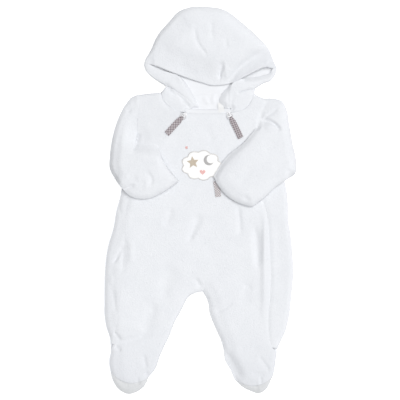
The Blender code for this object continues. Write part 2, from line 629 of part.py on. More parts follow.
for side, (x, y, turn) in PULLS.items():
    z = max(surface(x, y), surface(x + 3, y), surface(x - 3, y), surface(x, y + 3), surface(x, y - 3),
            surface(x + 5, y - 5), surface(x - 5, y - 5)) + GAP
    axis_z = z + 3.1
    # slider: plate with two cheeks that hold the ring's bar, local +X along the ribbon
    plate = bmesh.new()
    profile = [(-4.2, 0), (4.2, 0), (4.2, 1.5), (-4.2, 1.5)]
    bmesh.ops.create_cube(plate, size=1.0)
    bmesh.ops.scale(plate, vec=(8.4 * MM, 6.0 * MM, 1.5 * MM), verts=plate.verts)
    bmesh.ops.translate(plate, vec=(0, 0, 0.75 * MM), verts=plate.verts)
    bmesh.ops.bevel(plate, geom=[e for e in plate.edges if abs((e.verts[0].co - e.verts[1].co).z) > 1e-4],
                    offset=1.6 * MM, segments=3, affect="EDGES", profile=0.5)
    mesh = bpy.data.meshes.new("slider_" + side)
    plate.to_mesh(mesh)
    plate.free()
    mesh.materials.append(enamel)
    slider = bpy.data.objects.new("slider_" + side, mesh)
    parts.objects.link(slider)
    # bridge over the bar: an arch along the zip, joined to the plate
    arch = bpy.data.curves.new("bridge_" + side, "CURVE")
    arch.dimensions, arch.bevel_depth, arch.bevel_resolution, arch.use_fill_caps = "3D", 0.75 * MM, 2, True
    spline = arch.splines.new("POLY")
    run = [(-2.9 * math.cos(a), 0.9 + 3.95 * math.sin(a)) for a in np.linspace(0, math.pi, 11)]
    spline.points.add(len(run) - 1)
    for q, (u, w) in zip(spline.points, run):
        q.co = (u * MM, 0, w * MM, 1.0)
    bridge = bpy.data.objects.new("bridge_curve_" + side, arch)
    cutters.objects.link(bridge)
    bpy.context.view_layer.update()
    solid = bpy.data.meshes.new_from_object(bridge.evaluated_get(bpy.context.evaluated_depsgraph_get()))
    bm = bmesh.new()
    bm.from_mesh(solid)
    bmesh.ops.remove_doubles(bm, verts=bm.verts, dist=1e-6)
    face_out(bm)
    bm.to_mesh(solid)
    bm.free()
    bpy.data.objects.remove(bridge, do_unlink=True)
    tool = bpy.data.objects.new("bridge_" + side, solid)
    tool.hide_render, tool.display_type = True, "WIRE"
    cutters.objects.link(tool)
    for obj in (slider, tool):
        place(obj, x, y, z, turn)
    union = slider.modifiers.new("bridge", "BOOLEAN")
    union.operation, union.solver, union.object = "UNION", "EXACT", tool

    # pull ring: bar on the hinge axis (local Y), far side carries the ribbon
    half, far = BAR / 2 + 1.5, RING_L
    drop = -1.2
    outline = [(0, -half), (0, half)] + [(far * 0.25, half + 0.5), (far - 1.1, half + 0.7), (far - 0.3, half + 0.3), (far, half - 0.6)]
    outline += [(far, -half + 0.6), (far - 0.3, -half - 0.3), (far - 1.1, -half - 0.7), (far * 0.25, -half - 0.5)]
    tilt = math.atan2(drop, far)
    points = [(u * math.cos(tilt), v, u * math.sin(tilt)) for u, v in outline]
    ring = tube_ring("pull_ring_" + side, points, WIRE, enamel)
    place(ring, x, y, axis_z, turn)

    # ribbon: side profile with an eye round the ring's far bar, extruded across
    ex, ez = points[5][0], points[5][2]
    eye_out, eye_in = 1.95, WIRE + 0.4
    n = 12
    outer_arc = [(ex + eye_out * math.cos(a), ez + eye_out * math.sin(a))
                 for a in np.linspace(math.radians(25), math.radians(335), n)]
    tail = ex + RIBBON_L
    lie = -(axis_z - z) + GAP - 0.1
    flat_hi, flat_lo = lie + RIBBON_T + 0.2, lie + 0.2
    low = [(ex + 4.0, min(flat_lo + 0.3, ez - 0.4)), (ex + 9.0, flat_lo), (ex + 22.0, flat_lo), (tail, flat_lo)]
    high = [(tail, flat_hi), (ex + 22.0, flat_hi), (ex + 9.0, flat_hi), (ex + 4.0, max(flat_hi, ez + 0.2))]
    loop = outer_arc + low + high
    hole = [(ex + eye_in * math.cos(a), ez + eye_in * math.sin(a)) for a in np.linspace(0, 2 * math.pi, 10, endpoint=False)]
    curve = bpy.data.curves.new("ribbon_profile_" + side, "CURVE")
    curve.dimensions, curve.fill_mode, curve.extrude = "2D", "BOTH", RIBBON_W / 2 * MM
    for path in (loop, hole):
        spline = curve.splines.new("POLY")
        spline.points.add(len(path) - 1)
        for q, (u, w) in zip(spline.points, path):
            q.co = (u * MM, w * MM, 0, 1.0)
        spline.use_cyclic_u = True
    shape = bpy.data.objects.new("ribbon_profile_" + side, curve)
    cutters.objects.link(shape)
    bpy.context.view_layer.update()
    mesh = bpy.data.meshes.new_from_object(shape.evaluated_get(bpy.context.evaluated_depsgraph_get()))
    bpy.data.objects.remove(shape, do_unlink=True)
    bm = bmesh.new()
    bm.from_mesh(mesh)
    bmesh.ops.remove_doubles(bm, verts=bm.verts, dist=1e-6)
    for v in bm.verts:                       # stand the profile up; pinch it at the eye
        u, w, across = v.co.x, v.co.y, v.co.z
        pinch = lerp(0.62, 1.0, float(smooth((u / MM - ex - 1.5) / 6.0)))
        v.co = (u, across * pinch, w)
    face_out(bm)
    bm.to_mesh(mesh)
    bm.free()
    mesh.name = "ribbon_" + side
    mesh.materials.clear()
    mesh.materials.append(ribbon)
    tab = bpy.data.objects.new("ribbon_" + side, mesh)
    parts.objects.link(tab)
    place(tab, x, y, axis_z, turn)


# -------------------------------------------------------------- chest patch
def flat_piece(name, outline, z, thick, mat):
    curve = bpy.data.curves.new(name, "CURVE")
    curve.dimensions, curve.fill_mode, curve.extrude = "2D", "BOTH", thick / 2 * MM
    spline = curve.splines.new("POLY")
    spline.points.add(len(outline) - 1)
    for q, (u, w) in zip(spline.points, outline):
        q.co = (u * MM, w * MM, 0, 1.0)
    spline.use_cyclic_u = True
    holder = bpy.data.objects.new(name + "_outline", curve)
    cutters.objects.link(holder)
    bpy.context.view_layer.update()
    mesh = bpy.data.meshes.new_from_object(holder.evaluated_get(bpy.context.evaluated_depsgraph_get()))
    bpy.data.objects.remove(holder, do_unlink=True)
    bm = bmesh.new()
    bm.from_mesh(mesh)
    bmesh.ops.remove_doubles(bm, verts=bm.verts, dist=1e-6)
    face_out(bm)
    bm.to_mesh(mesh)
    bm.free()
    mesh.materials.clear()
    mesh.materials.append(mat)
    obj = bpy.data.objects.new(name, mesh)
    obj.location = (0, 0, (z + thick / 2) * MM)
    parts.objects.link(obj)
    return obj


def cloud(cx, cy, a, b, lobes, depth, n=72):
    out = []
    for k in range(n):
        t = 2 * math.pi * k / n
        r = 1.0 - depth + depth * abs(math.cos(lobes * t / 2))
        out.append((cx + a * r * math.cos(t), cy + b * r * math.sin(t)))
    return out


def star(cx, cy, r, inner, turn=90.0):
    return [(cx + (r if k % 2 == 0 else r * inner) * math.cos(math.radians(turn + 36 * k)),
             cy + (r if k % 2 == 0 else r * inner) * math.sin(math.radians(turn + 36 * k))) for k in range(10)]


def moon(cx, cy, r, turn):
    arc = [(r * math.cos(a), r * math.sin(a)) for a in np.linspace(math.radians(50), math.radians(310), 17)]
    bite = [(r * 0.42 + 0.80 * r * math.cos(a), 0.80 * r * math.sin(a))
            for a in np.linspace(math.radians(280), math.radians(80), 13)]
    c, s = math.cos(math.radians(turn)), math.sin(math.radians(turn))
    return [(cx + u * c - w * s, cy + u * s + w * c) for u, w in arc + bite]


def heart(cx, cy, r, n=22):
    out = []
    for k in range(n):
        t = 2 * math.pi * (k + 0.5) / n
        out.append((cx + r * math.sin(t) ** 3,
                    cy + r * (13 * math.cos(t) - 5 * math.cos(2 * t) - 2 * math.cos(3 * t) - math.cos(4 * t)) / 16))
    return out


def disc(cx, cy, r, n=14):
    return [(cx + r * math.cos(2 * math.pi * k / n), cy + r * math.sin(2 * math.pi * k / n)) for k in range(n)]


ON_BODY = BODY_TOP + GAP
flat_piece("patch_base", cloud(2, 61, 35, 26, 9, 0.13), ON_BODY, 0.5, satin)
ON_PATCH = ON_BODY + 0.5 + GAP
flat_piece("patch_star", star(-13, 66, 11, 0.46, 97), ON_PATCH, 0.4, beige)
flat_piece("patch_moon", moon(15, 70, 9, 25), ON_PATCH, 0.4, grey)
flat_piece("patch_heart", heart(4, 49, 5), ON_PATCH, 0.4, pink)
flat_piece("patch_dot", disc(-24, 92, 2.2), ON_BODY, 0.8, pink)
strip("ribbon_tab", [(27.8, 31), (29, 24), (30.5, 15), (31.4, 7)], ribbon, RIBBON_W, 0.9, [ON_BODY + 0.45] * 4)
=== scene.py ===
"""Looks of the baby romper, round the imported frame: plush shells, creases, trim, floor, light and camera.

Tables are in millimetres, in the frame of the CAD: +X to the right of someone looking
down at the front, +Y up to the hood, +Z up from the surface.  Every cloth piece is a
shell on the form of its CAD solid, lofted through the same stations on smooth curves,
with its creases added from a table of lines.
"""

import math

import bmesh
import bpy
import numpy as np
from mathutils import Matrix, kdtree


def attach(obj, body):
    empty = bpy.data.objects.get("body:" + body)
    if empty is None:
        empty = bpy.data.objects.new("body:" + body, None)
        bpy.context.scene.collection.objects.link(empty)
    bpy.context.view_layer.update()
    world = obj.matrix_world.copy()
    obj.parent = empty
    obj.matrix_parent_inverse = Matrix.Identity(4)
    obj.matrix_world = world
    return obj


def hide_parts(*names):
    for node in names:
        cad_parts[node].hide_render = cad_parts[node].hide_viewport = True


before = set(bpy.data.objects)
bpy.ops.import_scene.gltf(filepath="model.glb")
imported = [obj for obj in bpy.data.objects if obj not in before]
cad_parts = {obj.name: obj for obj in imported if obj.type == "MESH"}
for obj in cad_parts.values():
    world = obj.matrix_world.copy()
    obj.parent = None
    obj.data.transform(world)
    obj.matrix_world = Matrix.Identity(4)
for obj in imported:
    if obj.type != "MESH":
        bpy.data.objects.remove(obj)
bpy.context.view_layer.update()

# ---------------------------------------------------------------- named sizes, mm
MM = 0.001
MID = 8.0
BODY_TOP = 16.5
EDGE = 3.0
GAP = 0.3
ROLL = 9.0          # how far in a full edge rolls over
SLOPE = 30.0         # and how far in a slack one slopes down
ROLL_UNDER = 10.0
AIR = 2.3
SLEEVE_GAP = 1.3
LINING = 1.5
CROWN_RISE = 17.0
STEP = 2.1           # spacing of the points of a shell
SEAM = 0.01          # half the gap along a seam, which the pile covers

# ------------------------------------------------- tables: body, row by row
# columns: side edge x, y | zip x, y | centre line (below the crotch: inner leg) x, y
BODY_R = [
    (-107, 162, -27, 152.5, 12, 152), (-108, 154, -43, 132, 11, 132),
    (-110, 140, -62, 109, 10, 109), (-110, 112, -80, 86, 9, 86),
    (-116, 88, -92, 67, 9, 67), (-125, 62, -104, 46, 8, 46),
    (-134, 35, -113, 28, 8, 28), (-138, 19, -120, 12, 7, 12),
    (-141, 5, -125, -2, 7, -2), (-147, -16, -129, -20, 7, -20),
    (-153, -50, -131, -50, 6, -50), (-161, -76, -132, -76, 6, -76),
    (-165, -97, -134, -97, 5, -97), (-168, -135, -137, -135, 5, -135),
    (-168.5, -160, -139, -160, 4, -160), (-168.5, -180, -141, -181, -18.5, -168),
    (-168, -205, -143.5, -204, -32.5, -192), (-164.5, -224.5, -147, -222, -45, -215),
    (-159, -240.5, -149.5, -238, -54.5, -239.5), (-157.5, -253, -151.5, -252, -65, -261),
]
BODY_L = [
    (102.8, 157.2, 50, 153, 12, 152), (100.8, 152.5, 60, 132, 11, 132),
    (98.5, 145, 70, 109, 10, 109), (97, 137, 80, 86, 9, 86),
    (104, 119, 88, 67, 9, 67), (118, 105, 95, 46, 8, 46),
    (130, 79, 101.5, 28, 8, 28), (141, 53, 107, 12, 7, 12),
    (150.5, 22, 111, -2, 7, -2), (153.5, -1, 116, -20, 7, -20),
    (154.5, -35, 120, -50, 6, -50), (159.5, -68, 121.5, -76, 6, -76),
    (162, -97, 122.5, -97, 5, -97), (163, -132, 124, -135, 5, -135),
    (161, -158, 123, -160, 4, -160), (159, -178, 121.5, -181, 12.5, -174.5),
    (155.5, -205.5, 119.5, -205, 17, -199), (150, -228, 120, -228, 27.5, -225.5),
    (141.5, -247, 122.5, -247, 37, -247), (136, -259, 126, -258, 41.5, -264),
]
CROTCH = 14
UNDERARM_R, UNDERARM_L = 3, 5

# shoulder rows above the zip: outer x, y | neck seam x, y; the third is the shoulder tip
SHOULDER_R = [(-73, 188.5, -67.9, 187.5), (-90, 187, -66.2, 182), (-107, 184.8, -64, 174),
              (-106.8, 178, -53, 163), (-107, 169, -40, 155.5)]
SHOULDER_L = [(98.5, 183.4, 94, 185.4), (106, 180.6, 91, 178), (113, 178, 88, 170),
              (110, 171.5, 80, 161), (104.7, 161, 67, 155.5)]

# the feet: outer x, y | inner x, y; the third row is the seam with the sole
FOOT_R = [(-157, -264, -71, -275), (-160, -280, -78.5, -295.5), (-157.5, -301, -90.5, -310)]
FOOT_L = [(134, -270.5, 43, -278.5), (131, -291.5, 53.5, -298), (128, -307, 60, -314)]
TOE_SAG = 15.0
TOE_R = [(-157.5, -301), (-152, -319.5), (-141, -333.5), (-126.5, -340), (-112, -336.5), (-98.5, -326.5), (-90.5, -310)]
TOE_L = [(128, -307), (123.5, -316.5), (115, -332), (102.5, -339), (90, -335.5), (72, -326), (60, -314)]
# the back's first rows, from the hood seam down: outer x, y | centre x, y
BACK_TOP_R = [(-59.5, 199.2, 12, 177.4), (-68.3, 189.2, 12, 171), (-90, 187, 12, 164), (-107, 184.8, 12, 158)]
BACK_TOP_L = [(97, 195.5, 12, 177.4), (95.3, 188, 12, 171), (105, 181.4, 12, 164), (113, 178, 12, 158)]

# ------------------------------------------------------------ tables: sleeves
# columns: outer x, y | inner x, y | height of the top
SLEEVE_R = [
    (-107, 184.8, -110, 112, 16.5), (-118.5, 181.5, -110.4, 111, 16.5), (-131, 168, -110.8, 109.5, 17),
    (-143, 145.5, -111.2, 107.5, 18.5), (-153, 114.5, -110.5, 105.5, 21), (-158.5, 79, -107, 104, 24),
    (-158.5, 55, -102, 103.6, 26), (-149.3, 37, -96, 103.5, 27.5), (-137, 21, -92, 103.4, 28.8),
    (-120, 6, -87.5, 103.2, 29.6), (-97, 2, -83, 103, 30.2), (-68, 12, -79, 102.8, 30.8),
    (-37, 34, -76, 102.5, 30.8),
]
SLEEVE_L = [
    (113, 178, 97, 136, 16.5), (130.5, 178, 97, 133.5, 17), (144, 173, 97.2, 131.2, 18.5),
    (151.3, 159.5, 97.4, 129.3, 20.5), (156.3, 132.5, 97.2, 127, 23), (162, 100.5, 95, 122.8, 26),
    (168.5, 65, 87, 113, 28), (167.3, 47.5, 78, 102, 29), (151.5, 36, 66, 92, 30),
    (133, 24, 54, 83, 30.5), (115, 7, 41, 69, 30.8), (90, -12, 23, 41, 30.8),
]
CUFF_BULGE_R, CUFF_BULGE_L = 6.0, 12.0
SLEEVE_WALL = 2.6

# --------------------------------------------------------------- tables: hood
DOME = [(-98.5, 238.8), (-97, 244.7), (-87, 263), (-76.3, 286.7), (-56.5, 310.8), (-35.5, 332), (-16, 338.5),
        (4, 339), (41, 334), (73, 311.5), (102, 285.5), (121.5, 262.5), (127.5, 247), (134.4, 231.6)]
BRIM = [(-91.5, 239), (-83, 236.4), (-74, 233.2), (-54, 225), (-38, 219), (-24, 214), (4, 205),
        (18, 201), (34, 201), (55, 205), (75, 214), (95, 224), (113, 231.7), (126.3, 230.9)]
BACK_LOW = [(-98.6, 236), (-96, 228), (-85, 216.3), (-73.5, 208.3), (-59.3, 200), (-35, 192.5), (-12, 185.3),
            (12, 177.9), (40, 184), (68, 190), (97, 196.3), (110.6, 204.5), (124, 210), (131.7, 220.5), (134.5, 229)]
BACK_HIGH = [(-98.5, 239), (-96.5, 246), (-90, 257), (-82, 274), (-65.5, 300), (-48, 319.5), (-20, 337.5),
             (4, 339), (33, 335), (62, 319.5), (92, 294.5), (112, 274), (121.5, 262.5), (127.5, 247), (134.4, 231.8)]
LINING_IN = 9.0
# the hood's sides: outline or fold x, y | front edge x, y | height
SIDE_R = [
    (-98.7, 238.1, -91.5, 238.3, 12.5), (-96, 228, -74, 229.5, 13.5), (-85, 216.3, -56, 222, 14.5),
    (-73.5, 208.3, -43, 217.5, 15), (-59.3, 200, -28, 208, 15.5), (-46, 193, -20, 198.5, 16),
    (-34, 185, -14.5, 187.5, 16), (-22, 176, -7.5, 176, 16), (-10, 164, -2, 163, 15),
]
SIDE_L = [
    (134.6, 230.9, 126.4, 230.2, 12.5), (131.7, 220.5, 123.5, 224.5, 13.5), (124, 210, 111, 219, 14.5),
    (110.6, 204.5, 96, 216, 15), (97, 196.3, 80, 213.5, 15.5), (83, 193, 66, 209, 16),
    (69, 189, 54, 201.5, 16), (61, 184, 41.5, 191, 16), (57, 176, 35, 182.5, 16),
    (55.5, 168.5, 33, 174, 15.5), (54.5, 161, 44.5, 159.5, 15),
]
NECK_R = [(-68.3, 189), (-64, 174), (-53, 163), (-40, 155.5), (-25.5, 154)]
NECK_L = [(95, 188), (91, 178), (88, 170), (80, 161), (67, 155.5), (57, 154), (50.5, 154.2)]

# ----------------------------------------------------------- tables: creases
# one line each: stations | half width, depth (- sinks, + rises), lean (raises one lip)
BODY_CREASES = [
    ([(3, -22), (-8, -46), (-22, -78)], 7.0, -2.7, 0.35),
    ([(-50, -12), (-56, -30), (-64, -48)], 6.0, -1.6, -0.3),
    ([(65, -4), (69, -30), (70, -66)], 5.0, -2.0, 0.3),
    ([(-10, -134), (-4, -143), (4, -156)], 5.0, -2.2, 0.3),
    ([(-46, -112), (-58, -142), (-64, -178)], 13.0, -2.6, 0.0),
    ([(-76, -178), (-90, -204), (-98, -234)], 12.0, -3.0, 0.0),
    ([(-160, -246), (-134, -247), (-104, -239), (-80, -224)], 8.0, -2.6, 0.0),
    ([(24, -197), (40, -189), (58, -177)], 4.5, -1.6, 0.4),
    ([(76, -150), (82, -152), (90, -152)], 5.0, -1.2, 0.0),
    ([(93, -38), (96.5, -66), (98, -92), (100, -124)], 6.5, -3.2, -0.3),
    ([(108, -8), (111.5, -30), (112, -70), (112, -120), (112.5, -160), (110, -218)], 5.5, 3.0, 0.0),
    ([(78, -130), (80, -157), (80, -190)], 11.0, -1.0, 0.0),
    ([(-120.5, -70), (-120.5, -92), (-121, -114)], 5.0, 1.2, 0.0),
    ([(-133, -76), (-142, -94), (-152, -112)], 3.8, -2.2, 0.3),
    ([(-154, -113), (-150, -106), (-139, -101)], 3.0, -0.9, 0.3),
    ([(-152, -150), (-150, -172), (-146, -202)], 4.5, -1.3, 0.3),
    ([(-155.5, -128), (-155.5, -138), (-156, -150)], 3.0, 0.9, 0.0),
    ([(-151, -229), (-146, -236), (-138, -246)], 3.0, -1.5, 0.3),
    ([(-150, -254), (-144, -259), (-137, -262)], 4.0, -1.9, 0.2),
    ([(-98, -268), (-97, -280), (-93, -296)], 3.4, -1.7, 0.3),
    ([(-97, -300), (-94, -304), (-92, -309)], 3.5, -2.6, 0.0),
    ([(-110, -309), (-109, -316), (-108, -325)], 2.8, -1.8, 0.0),
    ([(102, -271), (112, -285), (124, -302)], 3.4, -1.6, 0.3),
    ([(88, -303), (100, -304.5), (114, -303)], 2.8, -1.5, 0.3),
    ([(106, -308), (106, -316), (105, -324)], 2.8, -1.6, 0.0),
    ([(42, -258), (52, -280), (62, -300), (72, -320)], 9.0, -4.0, 0.0),
    ([(62, -262), (84, -257), (108, -262)], 9.0, -0.9, 0.0),
    ([(28, 96), (24, 78), (26, 64)], 7.0, -0.7, 0.0),
    ([(5, 130), (18, 112), (22, 96)], 7.0, -0.8, 0.3),
    ([(-8, -60), (14, -84), (20, -112)], 12.0, -0.6, 0.0),
    ([(40, -84), (58, -90), (74, -86)], 7.0, 0.6, 0.0),
    ([(-110, -60), (-96, -66), (-80, -62)], 9.0, -0.5, 0.0),
    ([(134, -20), (137, -70), (140, -120), (138, -170)], 9.0, -0.8, 0.0),
    ([(-146, 8), (-142, -12), (-138, -30)], 4.0, -1.1, 0.2),
    ([(-72, 200), (-69, 187), (-64, 175), (-54, 164), (-44, 158)], 5.0, -2.0, 0.0),
]
HOOD_CREASES = [
    ([(-10, 305), (-8.5, 290), (-6.5, 279), (0, 267), (6.5, 259), (14, 246)], 3.4, -1.8, 0.1),
    ([(18, 316), (19, 300), (21, 276)], 4.5, -1.1, -0.3),
    ([(44, 286), (45.5, 276), (47, 262)], 4.5, -0.9, 0.3),
    ([(39.8, 244), (38.5, 234), (36, 223), (33.5, 208)], 3.8, -2.8, 0.45),
    ([(44, 238), (45, 224), (46.5, 209)], 4.0, 1.3, 0.0),
    ([(34, 178), (50, 204), (66, 228), (86, 245), (108, 257), (134, 270)], 8.0, -3.8, 0.0),
    ([(60, 186), (74, 206), (92, 220), (109, 231), (130, 244), (150, 258)], 9.0, 3.8, 0.0),
    ([(-70, 262), (-52, 258), (-30, 262)], 9.0, -0.7, 0.0),
    ([(-52, 300), (-30, 306), (-14, 302)], 10.0, -0.6, 0.0),
    ([(70, 292), (84, 276), (96, 262)], 9.0, -0.6, 0.0),
    ([(-30, 240), (-12, 234), (6, 226)], 8.0, 0.6, 0.0),
]
SLEEVE_CREASES_R = [
    ([(-134, 18), (-128, 21), (-121, 25), (-113, 26.5)], 2.6, -2.4, 0.4),
    ([(-98, 50), (-92, 47), (-85, 39), (-84, 32), (-90, 24)], 4.2, -1.6, 0.35),
    ([(-97, 42), (-94, 30), (-96, 16)], 4.5, 1.0, 0.0),
    ([(-128, 42), (-118, 37), (-108, 40)], 8.0, -1.3, 0.0),
    ([(-108.5, 150), (-109.5, 132), (-110, 116)], 5.0, -1.0, 0.0),
    ([(-126, 122), (-116, 114), (-104, 116)], 7.0, -1.0, 0.0),
    ([(-130, 163), (-126, 158), (-120, 154)], 5.0, -1.0, 0.0),
    ([(-150, 90), (-138, 96), (-126, 92)], 8.0, -0.7, 0.0),
    ([(-70, 80), (-62, 68), (-60, 52)], 7.0, -0.6, 0.0),
]
SLEEVE_CREASES_L = [
    ([(106, 138), (114, 145), (126, 154), (140, 166)], 3.0, -1.3, 0.4),
    ([(104.5, 137), (109, 139), (114, 139.5), (122, 137.5), (129, 134), (136, 127), (141, 118)], 4.2, -4.0, 0.4),
    ([(100, 146), (105, 155), (111, 165), (113, 177)], 4.5, -1.3, 0.3),
    ([(92, 55), (80, 40), (64, 22)], 6.0, -1.1, 0.2),
    ([(74, 8), (79, 4), (85, -3)], 3.0, -1.5, 0.2),
    ([(152, 72), (140, 62), (124, 58)], 8.0, -0.8, 0.0),
    ([(132, 104), (122, 92), (110, 86)], 9.0, -0.7, 0.0),
]
BACK_CREASES = [
    ([(-60, 120), (-40, 96), (-30, 60)], 8.0, 1.4, 0.0),
    ([(30, 40), (44, 10), (40, -30)], 9.0, 1.2, 0.0),
    ([(-90, -20), (-70, -40), (-40, -44)], 8.0, 1.3, 0.0),
    ([(8, -110), (4, -134), (6, -156)], 7.0, 2.0, 0.0),
    ([(70, -90), (90, -100), (118, -96)], 8.0, 1.2, 0.0),
    ([(-120, -150), (-100, -160), (-76, -156)], 8.0, 1.3, 0.0),
    ([(56, -210), (84, -216), (112, -208)], 8.0, 1.3, 0.0),
    ([(-130, -270), (-112, -276), (-92, -272)], 7.0, 1.4, 0.0),
]


# ----------------------------------------------------------------- functions
def lerp(a, b, t):
    return a + (b - a) * t


def smooth(t):
    t = np.clip(t, 0.0, 1.0)
    return t * t * (3.0 - 2.0 * t)


def over(t):
    """Quarter-round: 0 at the edge, 1 at one radius in."""
    t = np.clip(t, 0.0, 1.0)
    return np.sqrt(1.0 - (1.0 - t) ** 2)


def pairs(table, i):
    return [(row[i], row[i + 1]) for row in table]


def steps(*columns, step=STEP):
    """How many steps each interval of a table gets, from its longest column."""
    columns = [np.array(c, float) for c in columns]
    return [max(2, int(math.ceil(max(np.linalg.norm(c[k + 1] - c[k]) for c in columns) / step)))
            for k in range(len(columns[0]) - 1)]


def curve(stations, counts, corners=()):
    """Points along a smooth curve through the stations, sharp at the corners."""
    pts = np.array(stations, float)
    marks = [0] + sorted(corners) + [len(pts) - 1]
    out = [pts[:1]]
    for lo, hi in zip(marks[:-1], marks[1:]):
        seg = pts[lo:hi + 1]
        h = np.maximum(np.linalg.norm(np.diff(seg, axis=0), axis=1), 1e-6)
        slope = np.diff(seg, axis=0) / h[:, None]
        tan = np.zeros_like(seg)
        if len(seg) == 2:
            tan[:] = slope[0]
        else:
            for k in range(1, len(seg) - 1):
                tan[k] = (slope[k - 1] * h[k] + slope[k] * h[k - 1]) / (h[k] + h[k - 1])
            tan[0] = 1.5 * slope[0] - 0.5 * tan[1]
            tan[-1] = 1.5 * slope[-1] - 0.5 * tan[-2]
        for k in range(len(seg) - 1):
            t = (np.arange(counts[lo + k]) + 1.0) / counts[lo + k]
            t = t[:, None]
            a, b = seg[k], seg[k + 1]
            ma, mb = tan[k] * h[k], tan[k + 1] * h[k]
            out.append((2 * t**3 - 3 * t**2 + 1) * a + (t**3 - 2 * t**2 + t) * ma
                       + (-2 * t**3 + 3 * t**2) * b + (t**3 - t**2) * mb)
    return np.concatenate(out)


def dense(line, step=1.5):
    line = np.array(line, float)
    out = [line[:1]]
    for a, b in zip(line[:-1], line[1:]):
        n = max(1, int(math.ceil(np.linalg.norm(b - a) / step)))
        t = (np.arange(n) + 1.0)[:, None] / n
        out.append(a + (b - a) * t)
    return np.concatenate(out)


def near(p, line):
    """Distance of each point from a line, side of it (+ left of its run), and how far along, 0 to 1."""
    line = dense(line)
    tree = kdtree.KDTree(len(line))
    for k, q in enumerate(line):
        tree.insert((q[0], q[1], 0.0), k)
    tree.balance()
    hit = np.array([tree.find((x, y, 0.0))[1] for x, y in p])
    at = np.concatenate([[0.0], np.cumsum(np.linalg.norm(np.diff(line, axis=0), axis=1))])
    best = np.full(len(p), 1e9)
    side, along_ = np.zeros(len(p)), np.zeros(len(p))
    for shift in (-1, 0):
        k = np.clip(hit + shift, 0, len(line) - 2)
        a, ab = line[k], line[k + 1] - line[k]
        size = np.maximum((ab * ab).sum(1), 1e-9)
        t = np.clip(((p - a) * ab).sum(1) / size, 0.0, 1.0)
        r = p - (a + t[:, None] * ab)
        d = np.hypot(r[:, 0], r[:, 1])
        new = d < best
        best = np.where(new, d, best)
        side = np.where(new, ab[:, 0] * r[:, 1] - ab[:, 1] * r[:, 0], side)
        along_ = np.where(new, at[k] + t * np.sqrt(size), along_)
    return best, np.sign(side), along_ / at[-1]


_kept = {}


def off(p, line, key=None):
    """Distance of each point from a line; the same question is answered once."""
    tag = None if key is None else (key, len(p), float(p.sum()), float(p[0, 0]))
    if tag is None or tag not in _kept:
        d = near(p, line)[0]
        if tag is None:
            return d
        _kept[tag] = d
    return _kept[tag]


def inside(p, ring):
    ring = np.asarray(ring, float)
    hit = np.zeros(len(p), bool)
    for (x0, y0), (x1, y1) in zip(ring, np.roll(ring, -1, axis=0)):
        cross = (y0 > p[:, 1]) != (y1 > p[:, 1])
        if not cross.any():
            continue
        x = x0 + (p[:, 1] - y0) / (y1 - y0 if y1 != y0 else 1e-9) * (x1 - x0)
        hit ^= cross & (p[:, 0] < x)
    return hit


def scatter(ix, iy, seed):
    n = (ix.astype(np.int64) * 374761393 + iy.astype(np.int64) * 668265263 + seed * 974634777) & 0xFFFFFFFF
    n = ((n ^ (n >> 13)) * 1274126177) & 0xFFFFFFFF
    return ((n ^ (n >> 16)) & 0xFFFF) / 32767.5 - 1.0


def noise(p, size, seed=0):
    """Smooth noise from -1 to 1 with features of this size, the same each run."""
    q = p / size
    i = np.floor(q)
    f = q - i
    u = f * f * f * (f * (f * 6 - 15) + 10)
    i = i.astype(np.int64)
    a, b = scatter(i[:, 0], i[:, 1], seed), scatter(i[:, 0] + 1, i[:, 1], seed)
    c, d = scatter(i[:, 0], i[:, 1] + 1, seed), scatter(i[:, 0] + 1, i[:, 1] + 1, seed)
    return lerp(lerp(a, b, u[:, 0]), lerp(c, d, u[:, 0]), u[:, 1])


def turned(p, degrees):
    c, s = math.cos(math.radians(degrees)), math.sin(math.radians(degrees))
    return np.stack([p[:, 0] * c - p[:, 1] * s, p[:, 0] * s + p[:, 1] * c], axis=1)


def nap(p, seed=0):
    """The uneven lie of plush and wadding: soft swells, then tufts."""
    z = 0.26 * noise(p, 38.0, seed) + 0.11 * noise(turned(p, 31), 18.0, seed + 1)
    z += 0.05 * noise(turned(p, 67), 8.0, seed + 2) + 0.05 * noise(turned(p, 12), 4.6, seed + 3)
    return z


def creases(p, table):
    z = np.zeros(len(p))
    for stations, width, depth, lean in table:
        n = len(stations) - 1
        line = curve(stations, [8] * n)
        lo, hi = line.min(0) - 3.2 * width, line.max(0) + 3.2 * width
        some = ((p > lo) & (p < hi)).all(1)
        if not some.any():
            continue
        d, side, t = near(p[some], line)
        fade = smooth(t / 0.28) * smooth((1.0 - t) / 0.28)
        wide = width * (0.75 + 0.35 * np.sin(3.1 * t + width) ** 2)
        s = d / wide
        z[some] += fade * depth * (np.exp(-(s ** 2)) - lean * side * s * np.exp(-(s ** 2) * 0.7) * 1.2)
    return z


def graded(width, lo=True, hi=True, step=STEP):
    """Fractions across a panel, close together at the edges that round over."""
    fine = [0.0, 0.3, 0.8, 1.6, 2.8, 4.3]
    a = [x / width for x in fine] if lo else [0.0]
    b = [1.0 - x / width for x in fine][::-1] if hi else [1.0]
    n = max(2, int(math.ceil((b[0] - a[-1]) * width / step)))
    mid = [a[-1] + (b[0] - a[-1]) * k / n for k in range(1, n)]
    return np.array(a + mid + b)


def ruled(first, second, cuts, inset=(0.0, 0.0), sag=None):
    """Grid of points between two edges that have a row each."""
    first, second = np.array(first, float), np.array(second, float)
    way = second - first
    span = np.maximum(np.linalg.norm(way, axis=1), 1e-6)
    way = way / span[:, None]
    a = first + way * inset[0]
    b = second - way * inset[1]
    grid = a[:, None, :] + (b - a)[:, None, :] * cuts[None, :, None]
    if sag is not None:
        n = np.stack([-way[:, 1], way[:, 0]], axis=1)
        grid = grid + (n * np.array(sag)[:, None])[:, None, :] * (4 * cuts * (1 - cuts))[None, :, None]
    return grid


